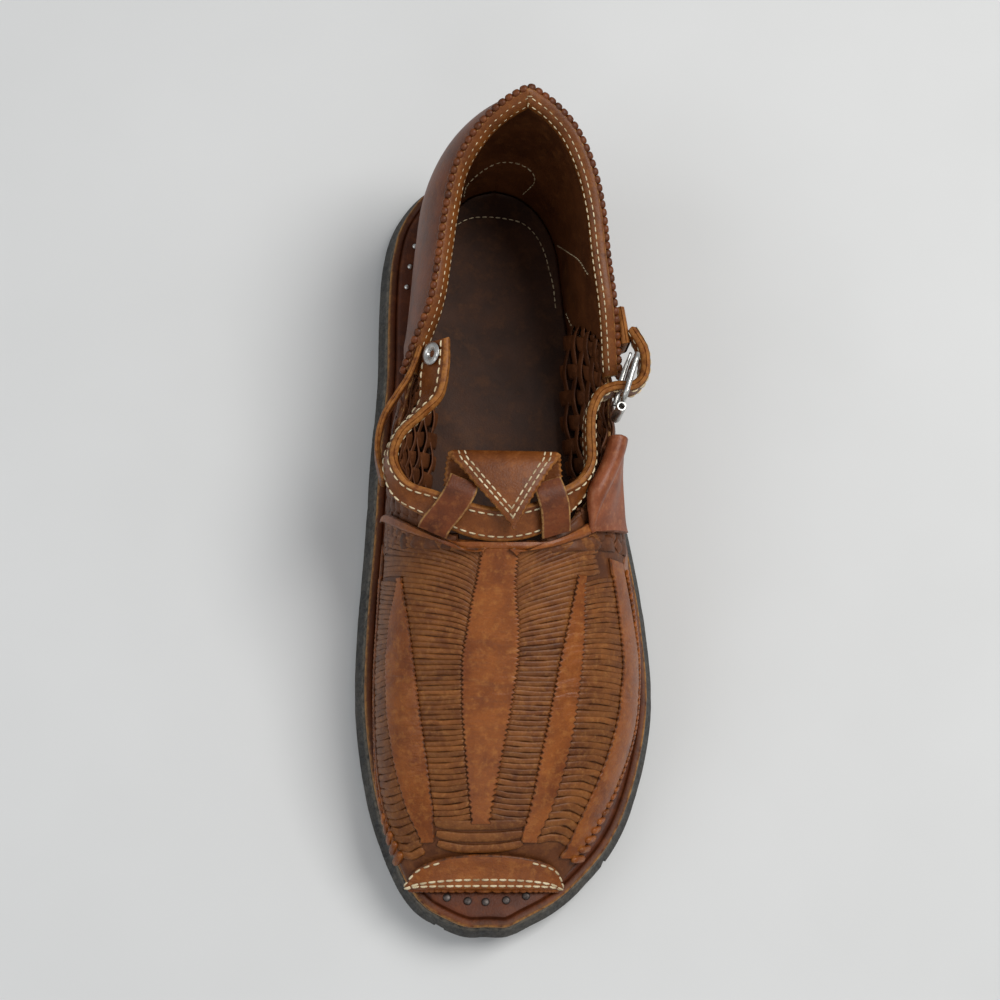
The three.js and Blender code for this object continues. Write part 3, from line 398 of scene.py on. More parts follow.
    def normal(self, side: Side, u: Array, v: Array) -> Array:
        """Outward normals of the last, shared by both halves at the ridge and the heel back.

        Args:
            side: Which half.
            u: Places along the last.
            v: Places up the section.

        Returns:
            Normals of length one.
        """
        u, v = np.broadcast_arrays(np.asarray(u, float), np.asarray(v, float))
        t = self.turn
        b = np.clip(v, t, 1 - t)
        a = np.clip(u, t, self.heel - t)
        along = self.bare(side, a + t, b) - self.bare(side, a - t, b)
        up = self.bare(side, a, b + t) - self.bare(side, a, b - t)
        normal = unit(np.cross(along, up) * side.value)
        at = np.clip(u, t, self.throat - t)
        run = self.bare(side, at + t, 1.0) - self.bare(side, at - t, 1.0)
        ridge = unit(np.stack([0 * run[..., 0], -run[..., 2], run[..., 1]], -1))
        normal = np.where(((u <= self.throat) & (v > 1 - t))[..., None], ridge, normal)
        climb = self.bare(side, self.heel, b + t) - self.bare(side, self.heel, b - t)
        back = unit(np.stack([0 * climb[..., 0], climb[..., 2], -climb[..., 1]], -1))
        return np.where((u >= self.heel)[..., None], back, normal)

    def at(self, side: Side, u: Array, v: Array, offset: Array = 0.0) -> Array:
        """Points over the last's surface.

        Args:
            side: Which half.
            u: Places along the last.
            v: Places up the section.
            offset: Distance out from the surface.

        Returns:
            Points in millimetres.
        """
        u, v, offset = np.broadcast_arrays(*(np.asarray(value, float) for value in (u, v, offset)))
        normal = self.normal(side, u, v)
        foot = v < self.turn
        level = normal.copy()
        level[..., 2] = 0
        normal = np.where(foot[..., None], unit(level), normal)
        point = self.bare(side, u, v) + normal * offset[..., None]
        point[..., 2] = np.where(foot, self.floor(self.share(point[..., 1])) + self.foot_gap, point[..., 2])
        return point

    def over(self, u: Array, c: Array, offset: Array = 0.0) -> Array:
        """Points over the vamp, across its ridge.

        Args:
            u: Places along the last.
            c: Places across, from the medial foot line, -1, over the ridge, 0, to the lateral one, 1.
            offset: Distance out from the surface.

        Returns:
            Points in millimetres.
        """
        u, c = np.broadcast_arrays(np.asarray(u, float), np.asarray(c, float))
        medial = self.at(Side.MEDIAL, u, 1 - np.abs(c), offset)
        lateral = self.at(Side.LATERAL, u, 1 - np.abs(c), offset)
        return np.where((c < 0)[..., None], medial, lateral)

    def normal_over(self, u: Array, c: Array) -> Array:
        """Outward normals over the vamp, at the same places as over()."""
        u, c = np.broadcast_arrays(np.asarray(u, float), np.asarray(c, float))
        medial = self.normal(Side.MEDIAL, u, 1 - np.abs(c))
        lateral = self.normal(Side.LATERAL, u, 1 - np.abs(c))
        return np.where((c < 0)[..., None], medial, lateral)

    def outline(self, margin: float, count: int) -> Array:
        """The sole's outline, pulled in by a margin.

        Args:
            margin: Distance inward.
            count: How many points, from the toe round the medial side and back.

        Returns:
            Points, x and y.
        """
        medial = np.stack([-self.across(self.sole[:, 1]), self.lengthwise(self.sole[:, 0])], -1)
        lateral = np.stack([self.across(self.sole[:, 2]), self.lengthwise(self.sole[:, 0])], -1)
        toe = (medial[0] + lateral[0]) / 2
        heel = (medial[-1] + lateral[-1]) / 2
        stops = np.vstack([toe, medial, heel, lateral[::-1]])
        loop = spline(stops, len(stops) * 24, closed=True)
        loop = np.vstack([loop, loop[:1]])
        middle = len(loop) // 2
        ahead = evenly(loop[:middle + 1], count // 2 + 1)[:-1]
        back = evenly(loop[middle:], count // 2 + 1)[:-1]
        points = np.vstack([ahead, back])
        run = np.roll(points, -1, axis=0) - np.roll(points, 1, axis=0)
        side = unit(np.stack([run[:, 1], -run[:, 0]], -1))
        return points + side * margin

    def shift(self) -> Array:
        """The move from the shoe's own millimetres into the frame, from where the frame holds the outsole."""
        low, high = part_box("outsole")
        loop = self.outline(0, 720)
        middle = (loop.min(0) + loop.max(0)) / 2
        centre = (low + high) / 2
        return np.array([centre.x / MILLIMETRE - middle[0], centre.y / MILLIMETRE - middle[1], 0])


# Mesh making


class Shape:
    """Points and faces gathered for one piece."""

    def __init__(self) -> None:
        """Start with nothing."""
        self.points: list[Array] = []
        self.faces: list[list[int]] = []
        self.tones: list[Array] = []
        self.edges: list[Array] = []
        self.count = 0

    def add(self, points: Array, faces: Array, tone: Array = 0.5, edge: Array = 0.0) -> int:
        """Add points and faces.

        Args:
            points: Points in millimetres.
            faces: Rows of indices into the points.
            tone: Tone of each point, or of all.
            edge: How far each point is on a raw edge.

        Returns:
            The index of the first point added.
        """
        flat = np.asarray(points, float).reshape(-1, 3)
        start = self.count
        self.points.append(flat)
        self.tones.append(np.broadcast_to(np.asarray(tone, float).reshape(-1), (len(flat),)))
        self.edges.append(np.broadcast_to(np.asarray(edge, float).reshape(-1), (len(flat),)))
        self.faces.extend((np.asarray(faces) + start).tolist())
        self.count += len(flat)
        return start

    def grid(self, grid: Array, flip: bool = False, tone: Array = 0.5, edge: Array = 0.0) -> None:
        """Add an open grid of points as quads.

        Args:
            grid: Points, rows by columns by three.
            flip: Whether the faces look the other way.
            tone: Tone of each point, or of all.
            edge: How far each point is on a raw edge.
        """
        n, m, _ = grid.shape
        i = np.arange(n - 1)[:, None] * m
        j = np.arange(m - 1)[None, :]
        quads = np.stack([i + j, i + j + 1, i + m + j + 1, i + m + j], -1).reshape(-1, 4)
        self.add(grid, quads[:, ::-1] if flip else quads, tone, edge)

    def loft(self, rings: Array, tone: Array = 0.5, edge: Array = 0.0, closed: bool = False) -> None:
        """Add a tube through rings.

        Args:
            rings: Points, rings by points by three.
            tone: Tone, one for all or one for each point.
            edge: The same for raw edges.
            closed: Whether the last ring joins the first; otherwise both ends are capped.
        """
        n, k, _ = rings.shape
        tone = np.broadcast_to(np.asarray(tone, float), (n, k))
        edge = np.broadcast_to(np.asarray(edge, float), (n, k))
        rows = n if closed else n - 1
        i = np.arange(rows)[:, None]
        j = np.arange(k)[None, :]
        after = (j + 1) % k
        below = ((i + 1) % n) * k
        quads = np.stack([i * k + j, i * k + after, below + after, below + j], -1).reshape(-1, 4)
        start = self.add(rings, quads, tone, edge)
        if closed:
            return
        for ring, flip in ((0, True), (n - 1, False)):
            middle = self.count
            self.add(rings[ring].mean(0), np.zeros((0, 3), int), tone[ring].mean(), edge[ring].mean())
            fan = np.stack([np.arange(k), (np.arange(k) + 1) % k, np.zeros(k, int)], -1)
            fan[:, :2] += start + ring * k
            fan[:, 2] = middle
            self.faces.extend((fan[:, ::-1] if flip else fan).tolist())

    def stack(self, rings: Array, tone: Array = 0.5, edge: Array = 0.0) -> None:
        """Add a body through level rings, with both ends closed by strips across the ring.

        Args:
            rings: Points, rings by points by three.
            tone: Tone, one for all or one for each point.
            edge: The same for raw edges.
        """
        n, k, _ = rings.shape
        tone = np.broadcast_to(np.asarray(tone, float), (n, k))
        edge = np.broadcast_to(np.asarray(edge, float), (n, k))
        i = np.arange(n - 1)[:, None] * k
        j = np.arange(k)[None, :]
        after = (j + 1) % k
        quads = np.stack([i + j, i + after, i + k + after, i + k + j], -1).reshape(-1, 4)
        start = self.add(rings, quads, tone, edge)
        half = np.arange(k // 2)
        strip = np.stack([half, half + 1, (k - 1 - half) % k, (k - half) % k], -1)
        for ring, flip in ((0, True), (n - 1, False)):
            cap = strip + start + ring * k
            self.faces.extend((cap[:, ::-1] if flip else cap).tolist())

    def strap(self, middle: Array, normals: Array, thickness: Array, tone: Array = 0.5,
              ends: bool = True, plies: bool = False) -> None:
        """Add a strap with rounded edges.

        Args:
            middle: Points of its middle surface, stations by places across by three.
            normals: Outward normals there.
            thickness: Thickness, one for all or one for each station.
            tone: Tone, one for all or one for each station.
            ends: Whether its ends are rounded.
            plies: Whether its edges show two layers.
        """
        n, m, _ = middle.shape
        half = np.broadcast_to(np.asarray(thickness, float) / 2, (n,)).copy()
        tones = np.broadcast_to(np.asarray(tone, float), (n,)).copy()
        worn = np.zeros(n)
        if ends:
            lead = unit(middle[0] - middle[1])
            tail = unit(middle[-1] - middle[-2])
            steps = np.radians([85, 60, 30])
            before = np.stack([middle[0] + lead * half[0] * (math.sin(a) - 1) for a in steps])
            behind = np.stack([middle[-1] + tail * half[-1] * (math.sin(a) - 1) for a in steps[::-1]])
            core = middle.copy()
            core[0] -= lead * half[0]
            core[-1] -= tail * half[-1]
            middle = np.concatenate([before, core, behind])
            normals = np.concatenate([normals[:1]] * 3 + [normals] + [normals[-1:]] * 3)
            half = np.concatenate([half[0] * np.cos(steps), half, half[-1] * np.cos(steps[::-1])])
            tones = np.concatenate([[tones[0]] * 3, tones, [tones[-1]] * 3])
            worn = np.concatenate([[1, 1, 0.6], worn, [0.6, 1, 1]])
        half = half[:, None]
        left = unit(middle[:, 0] - middle[:, 1])
        right = unit(middle[:, -1] - middle[:, -2])
        core = middle.copy()
        core[:, 0] -= left * half
        core[:, -1] -= right * half
        outer = core + normals * half[..., None]
        inner = core - normals * half[..., None]
        angles = np.radians([25, 55, 82, 90, 98, 125, 155] if plies else [30, 65, 90, 115, 150])
        groove = [0.72 if plies and abs(a - math.pi / 2) < 0.02 else 1.0 for a in angles]
        first = [core[:, -1] + (right * math.sin(a) * g + normals[:, -1] * math.cos(a)) * half
                 for a, g in zip(angles, groove)]
        second = [core[:, 0] + (left * math.sin(a) * g - normals[:, 0] * math.cos(a)) * half
                  for a, g in zip(angles, groove)]
        rings = np.concatenate([outer, np.stack(first, 1), inner[:, ::-1], np.stack(second, 1)], 1)
        turned = len(angles)
        edge = np.concatenate([np.zeros(m), np.ones(turned), np.zeros(m), np.ones(turned)])
        edge = np.maximum(np.broadcast_to(edge, (len(middle), len(edge))), worn[:, None])
        self.loft(rings, tones[:, None] + 0 * edge, edge)

    def tube(self, path: Array, radius: Array, sides: int = 10, closed: bool = False,
             tone: float = 0.5) -> None:
        """Add a round tube along a path.

        Args:
            path: Points of its middle line.
            radius: Radius, one for all or one for each point.
            sides: Sides of its section.
            closed: Whether the path returns to its start.
            tone: Its tone.
        """
        n = len(path)
        if closed:
            run = unit(np.roll(path, -1, axis=0) - np.roll(path, 1, axis=0))
        else:
            run = unit(np.gradient(path, axis=0))
        radius = np.broadcast_to(np.asarray(radius, float), (n,))
        first = unit(np.cross(run[0], (0.3, 0.2, 1.0)))
        across = []
        for step in run:
            first = unit(first - step * (first @ step))
            across.append(first)
        across = np.array(across)
        lift = np.cross(run, across)
        angle = np.linspace(0, 2 * math.pi, sides, endpoint=False)
        ring = (across[:, None] * np.cos(angle)[None, :, None] + lift[:, None] * np.sin(angle)[None, :, None])
        self.loft(path[:, None] + ring * radius[:, None, None], tone, 0.0, closed)

    def lathe(self, profile: Sequence[tuple[float, float]], centre: Array, axis: Array, sides: int = 24,
              tone: float = 0.5, hollow: bool = False) -> None:
        """Add a turned body.

        Args:
            profile: Radius and height of each ring.
            centre: The point at height 0.
            axis: Direction of the height.
            sides: Sides of each ring.
            tone: Its tone.
            hollow: Whether the profile closes on itself round a hole.
        """
        axis = unit(np.asarray(axis, float))
        first = unit(np.cross(axis, (0.21, 0.34, 0.9) if abs(axis[2]) < 0.9 else (1.0, 0.2, 0.1)))
        second = np.cross(axis, first)
        angle = np.linspace(0, 2 * math.pi, sides, endpoint=False)
        ring = first * np.cos(angle)[:, None] + second * np.sin(angle)[:, None]
        rings = np.stack([centre + ring * r + axis * h for r, h in profile])
        self.loft(rings, tone, 0.0, closed=hollow)


@dataclass
class Bench:
    """Puts shapes into the frame as Blender pieces."""

    last: Last
    made: list[str] = field(default_factory=list)

    def __post_init__(self) -> None:
        """Work out the move into the frame once."""
        self.move = self.last.shift()

    def metres(self, points: Array) -> Array:
        """Points in the frame, from the shoe's own millimetres."""
        return (points + self.move) * MILLIMETRE

    def mesh(self, name: str, shape: Shape, merge: float = 1e-7) -> bpy.types.Mesh:
        """Make a mesh with its attributes, closed and facing out.

        Args:
            name: The mesh's name.
            shape: What was gathered.
            merge: Distance in metres under which points are merged.

        Returns:
            The mesh.
        """
        mesh = bpy.data.meshes.new(name)
        mesh.from_pydata(self.metres(np.concatenate(shape.points)).tolist(), [], shape.faces)
        for label, values in (("tone", shape.tones), ("edge", shape.edges)):
            layer = mesh.attributes.new(label, "FLOAT", "POINT")
            layer.data.foreach_set("value", np.concatenate(values).astype(np.float32))
        work = bmesh.new()
        work.from_mesh(mesh)
        bmesh.ops.remove_doubles(work, verts=work.verts, dist=merge)
        bmesh.ops.dissolve_degenerate(work, edges=work.edges, dist=1e-8)
        bmesh.ops.recalc_face_normals(work, faces=work.faces)
        work.to_mesh(mesh)
        work.free()
        mesh.shade_smooth()
        return mesh

    def piece(self, name: str, shape: Shape, material: bpy.types.Material, slot: str,
              nodes: Sequence[str] = (), sharp: float = 0.0) -> bpy.types.Object:
        """Make a piece and give it its finish.

        Args:
            name: The piece's name.
            shape: What was gathered.
            material: Its finish.
            slot: The record's slot of that finish.
            nodes: The CAD nodes that it stands for.
            sharp: Angle in degrees past which edges stay sharp, or 0.

        Returns:
            The Blender object.
        """
        mesh = self.mesh(name, shape)
        if sharp:
            mesh.set_sharp_from_angle(angle=math.radians(sharp))
        return self.finish(name, mesh, material, slot, nodes)

    def finish(self, name: str, mesh: bpy.types.Mesh, material: bpy.types.Material, slot: str,
               nodes: Sequence[str] = ()) -> bpy.types.Object:
        """Hang a finished mesh on the shoe's one body.

        Args:
            name: The piece's name.
            mesh: Its mesh, in the frame's metres.
            material: Its finish.
            slot: Not used.
            nodes: The CAD nodes that it stands for.

        Returns:
            The Blender object.
        """
        mesh.materials.clear()
        mesh.materials.append(material)
        thing = bpy.data.objects.new(name, mesh)
        into_scene(thing)
        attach(thing, "root")
        if nodes:
            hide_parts(*nodes)
        self.made.append(name)
        log.info("%s: %d faces", name, len(mesh.polygons))
        return thing


# Node trees


class Graph:
    """A node tree being wired."""

    def __init__(self, tree: bpy.types.NodeTree) -> None:
        """Wrap a tree."""
        self.tree = tree

    def add(self, kind: str, inputs: dict | None = None, **settings: object) -> bpy.types.Node:
        """Add a node.

        Args:
            kind: The node's type.
            inputs: Values or sockets for its inputs, by name or number.
            settings: Properties of the node.

        Returns:
            The node.
        """
        node = self.tree.nodes.new(kind)
        for key, value in settings.items():
            setattr(node, key, value)
        for key, value in (inputs or {}).items():
            self.put(node.inputs[key], value)
        return node

    def put(self, socket: bpy.types.NodeSocket, value: object) -> None:
        """Give a socket a link or a value."""
        if isinstance(value, bpy.types.NodeSocket):
            self.tree.links.new(value, socket)
        else:
            socket.default_value = value

    def attribute(self, name: str) -> bpy.types.NodeSocket:
        """A shader's reading of a named attribute."""
        return self.add("ShaderNodeAttribute", attribute_name=name).outputs["Fac"]

    def place(self) -> bpy.types.NodeSocket:
        """A shader's object coordinates."""
        return self.add("ShaderNodeTexCoord").outputs["Object"]

    def group(self, name: str, inputs: dict) -> bpy.types.Node:
        """Place a shared shader group with its own values."""
        return self.add("ShaderNodeGroup", inputs, node_tree=Groups.get(name))

    def bump(self, shader: bpy.types.Node, strength: float, distance: float, height: object) -> None:
        """Give a shader the relief of a height.

        Args:
            shader: The shader.
            strength: How much of the relief shows.
            distance: Its depth, in metres.
            height: The height, between 0 and about 1.
        """
        relief = self.add("ShaderNodeBump", {"Strength": strength, "Distance": distance, "Height": height})
        self.put(shader.inputs["Normal"], relief.outputs[0])

    def sum(self, kind: str, *values: object, clamp: bool = False) -> bpy.types.NodeSocket:
        """A Math node.

        Args:
            kind: Its operation.
            values: Its inputs, in order.
            clamp: Whether the result is held between 0 and 1.

        Returns:
            Its result.
        """
        node = self.add("ShaderNodeMath", operation=kind, use_clamp=clamp)
        for socket, value in zip(node.inputs, values):
            self.put(socket, value)
        return node.outputs[0]

    def mix(self, share: object, first: object, second: object, blend: str = "MIX") -> bpy.types.NodeSocket:
        """A mix of two colours.

        Args:
            share: How much of the second.
            first: The first colour.
            second: The second colour.
            blend: How they are mixed.

        Returns:
            The mixed colour.
        """
        node = self.add("ShaderNodeMix", data_type="RGBA", blend_type=blend)
        self.put(node.inputs[0], share)
        self.put(node.inputs[6], first)
        self.put(node.inputs[7], second)
        return node.outputs[2]

    def noise(self, where: object, scale: object, detail: float = 3.0, rough: float = 0.55,
              twist: float = 0.0) -> bpy.types.NodeSocket:
        """A noise between 0 and 1.

        Args:
            where: The coordinates.
            scale: Its scale, in one over metres.
            detail: Its detail.
            rough: How strong the detail is.
            twist: Its distortion.

        Returns:
            The noise.
        """
        return self.add("ShaderNodeTexNoise", {
            "Vector": where, "Scale": scale, "Detail": detail, "Roughness": rough, "Distortion": twist,
        }).outputs["Fac"]

    def ramp(self, value: object, low: float, high: float, first: float = 0.0,
             second: float = 1.0) -> bpy.types.NodeSocket:
        """A value mapped from one range to another and held there.

        Args:
            value: The value.
            low: Where its range begins.
            high: Where its range ends.
            first: What low becomes.
            second: What high becomes.

        Returns:
            The mapped value.
        """
        node = self.add("ShaderNodeMapRange", {"Value": value, "From Min": low, "From Max": high,
                                               "To Min": first, "To Max": second})
        return node.outputs[0]


def new_tree(name: str, kind: str, inputs: Sequence[tuple[str, str, object]],
             outputs: Sequence[tuple[str, str]]) -> tuple[Graph, bpy.types.Node, bpy.types.Node]:
    """Start a node group with named sockets.

    Args:
        name: The group's name.
        kind: The tree's type.
        inputs: Name, short type and value of each input.
        outputs: Name and short type of each output.

    Returns:
        The graph, its input node and its output node.
    """
    tree = bpy.data.node_groups.new(name, kind)
    for label, sort, value in inputs:
        socket = tree.interface.new_socket(label, in_out="INPUT", socket_type="NodeSocket" + sort)
        if value is not None:
            socket.default_value = value
    for label, sort in outputs:
        tree.interface.new_socket(label, in_out="OUTPUT", socket_type="NodeSocket" + sort)
    graph = Graph(tree)
    return graph, graph.add("NodeGroupInput"), graph.add("NodeGroupOutput")


def strand_tree() -> bpy.types.NodeTree:
    """The tree that sweeps a flattened round section along guide lines.

    Returns:
        A tree whose inputs are the guides, the section's flatness and sides, and the finish.
    """
    graph, given, result = new_tree("strands", "GeometryNodeTree", [
        ("Guides", "Geometry", None), ("Flatness", "Float", 0.4), ("Sides", "Int", 8),
        ("Finish", "Material", None),
    ], [("Strands", "Geometry")])
    line = graph.add("GeometryNodeMeshToCurve", {0: given.outputs["Guides"]})
    up = graph.add("GeometryNodeInputNamedAttribute", {"Name": "up"}, data_type="FLOAT_VECTOR")
    girth = graph.add("GeometryNodeInputNamedAttribute", {"Name": "girth"}, data_type="FLOAT")
    turned = graph.add("GeometryNodeSetCurveNormal", {
        0: line.outputs[0], "Normal": up.outputs[0],
    }, mode="FREE")
    section = graph.add("GeometryNodeCurvePrimitiveCircle", {
        "Resolution": given.outputs["Sides"], "Radius": 1.0,
    })
    place = graph.add("ShaderNodeSeparateXYZ", {0: graph.add("GeometryNodeInputPosition").outputs[0]})
    # The section's height is stored as crown; the strip leather paints shade on the lower flanks from it.
    crown = graph.add("GeometryNodeStoreNamedAttribute", {
        "Geometry": section.outputs[0], "Name": "crown", "Value": place.outputs[0],
    }, data_type="FLOAT", domain="POINT")
    scale = graph.add("ShaderNodeCombineXYZ", {0: given.outputs["Flatness"], 1: 1.0, 2: 1.0})
    flat = graph.add("GeometryNodeTransform", {0: crown.outputs[0], "Scale": scale.outputs[0]})
    swept = graph.add("GeometryNodeCurveToMesh", {
        "Curve": turned.outputs[0], "Profile Curve": flat.outputs[0], "Scale": girth.outputs[0],
        "Fill Caps": True,
    })
    real = graph.add("GeometryNodeRealizeInstances", {0: swept.outputs[0]})
    done = graph.add("GeometryNodeSetMaterial", {0: real.outputs[0], "Material": given.outputs["Finish"]})
    graph.put(result.inputs[0], done.outputs[0])
    return graph.tree


def row_tree(spaced: bool) -> bpy.types.NodeTree:
    """The tree that sets copies of a small form in rows.

    Args:
        spaced: Whether the guides are walked at the pitch; otherwise a copy stands at each guide point.

    Returns:
        A tree whose inputs are the guides, the form, its pitch, size, skew and seed, and the finish.
    """
    graph, given, result = new_tree("rows" if spaced else "spots", "GeometryNodeTree", [
        ("Guides", "Geometry", None), ("Form", "Object", None), ("Pitch", "Float", 0.003),
        ("Length", "Float", 0.002), ("Width", "Float", 0.001), ("Height", "Float", 0.001),
        ("Skew", "Float", 0.0), ("Seed", "Int", SEED), ("Finish", "Material", None),
    ], [("Copies", "Geometry")])
    line = graph.add("GeometryNodeMeshToCurve", {0: given.outputs["Guides"]})
    if spaced:
        line = graph.add("GeometryNodeResampleCurve", {0: line.outputs[0], "Length": given.outputs["Pitch"]},
                         mode="LENGTH")
    form = graph.add("GeometryNodeObjectInfo", {"Object": given.outputs["Form"]})
    up = graph.add("GeometryNodeInputNamedAttribute", {"Name": "up"}, data_type="FLOAT_VECTOR")
    girth = graph.add("GeometryNodeInputNamedAttribute", {"Name": "girth"}, data_type="FLOAT")
    tangent = graph.add("GeometryNodeInputTangent")
    first = graph.add("FunctionNodeAlignRotationToVector", {"Vector": tangent.outputs[0]}, axis="X")
    second = graph.add("FunctionNodeAlignRotationToVector", {
        "Rotation": first.outputs[0], "Vector": up.outputs[0],
    }, axis="Z", pivot_axis="X")
    skew = graph.add("FunctionNodeAxisAngleToRotation", {"Axis": (0, 0, 1), "Angle": given.outputs["Skew"]})
    turned = graph.add("FunctionNodeRotateRotation", {
        "Rotation": second.outputs[0], "Rotate By": skew.outputs[0],
    }, rotation_space="LOCAL")
    size = graph.add("ShaderNodeCombineXYZ", {
        0: given.outputs["Length"], 1: given.outputs["Width"], 2: given.outputs["Height"],
    })
    scale = graph.add("ShaderNodeVectorMath", {
        0: size.outputs[0], "Scale": girth.outputs[0],
    }, operation="SCALE")
    copies = graph.add("GeometryNodeInstanceOnPoints", {
        "Points": line.outputs[0], "Instance": form.outputs["Geometry"], "Rotation": turned.outputs[0],
        "Scale": scale.outputs[0],
    })
    chance = graph.add("FunctionNodeRandomValue", {"Seed": given.outputs["Seed"]}, data_type="FLOAT")
    toned = graph.add("GeometryNodeStoreNamedAttribute", {
        "Geometry": copies.outputs[0], "Name": "tone", "Value": chance.outputs[1],
    }, data_type="FLOAT", domain="INSTANCE")
    real = graph.add("GeometryNodeRealizeInstances", {0: toned.outputs[0]})
    done = graph.add("GeometryNodeSetMaterial", {0: real.outputs[0], "Material": given.outputs["Finish"]})
    graph.put(result.inputs[0], done.outputs[0])
    return graph.tree


class Guides:
    """Guide lines that a tree of nodes walks."""

    def __init__(self) -> None:
        """Start with none."""
        self.lines: list[tuple[Array, Array, Array, float]] = []

    def add(self, points: Array, ups: Array, girth: Array = 1.0, tone: float = 0.5) -> None:
        """Add a line.

        Args:
            points: Its points in millimetres.
            ups: The outward direction at each point, or one for all.
            girth: Its half width or scale.
            tone: Its tone.
        """
        ups = np.broadcast_to(ups, points.shape)
        self.lines.append((points, ups, np.broadcast_to(np.asarray(girth, float), (len(points),)), tone))

    def thing(self, bench: Bench, name: str, girth_scale: float = 1.0) -> bpy.types.Object:
        """Make the edge mesh that a modifier works on.

        Args:
            bench: Where pieces are made.
            name: The object's name.
            girth_scale: From the guides' girth to the tree's.

        Returns:
            The Blender object.
        """
        points = np.concatenate([line[0] for line in self.lines])
        edges = []
        start = 0
        for line in self.lines:
            count = len(line[0])
            edges += [(start + k, start + k + 1) for k in range(count - 1)]
            start += count
        mesh = bpy.data.meshes.new(name)
        mesh.from_pydata(bench.metres(points).tolist(), edges, [])
        ups = np.concatenate([line[1] for line in self.lines])
        mesh.attributes.new("up", "FLOAT_VECTOR", "POINT").data.foreach_set("vector", ups.ravel())
        girth = np.concatenate([line[2] for line in self.lines]) * girth_scale
        mesh.attributes.new("girth", "FLOAT", "POINT").data.foreach_set("value", girth)
        tone = np.concatenate([np.full(len(line[0]), line[3]) for line in self.lines])
        mesh.attributes.new("tone", "FLOAT", "POINT").data.foreach_set("value", tone)
        thing = bpy.data.objects.new(name, mesh)
        into_scene(thing)
        return thing


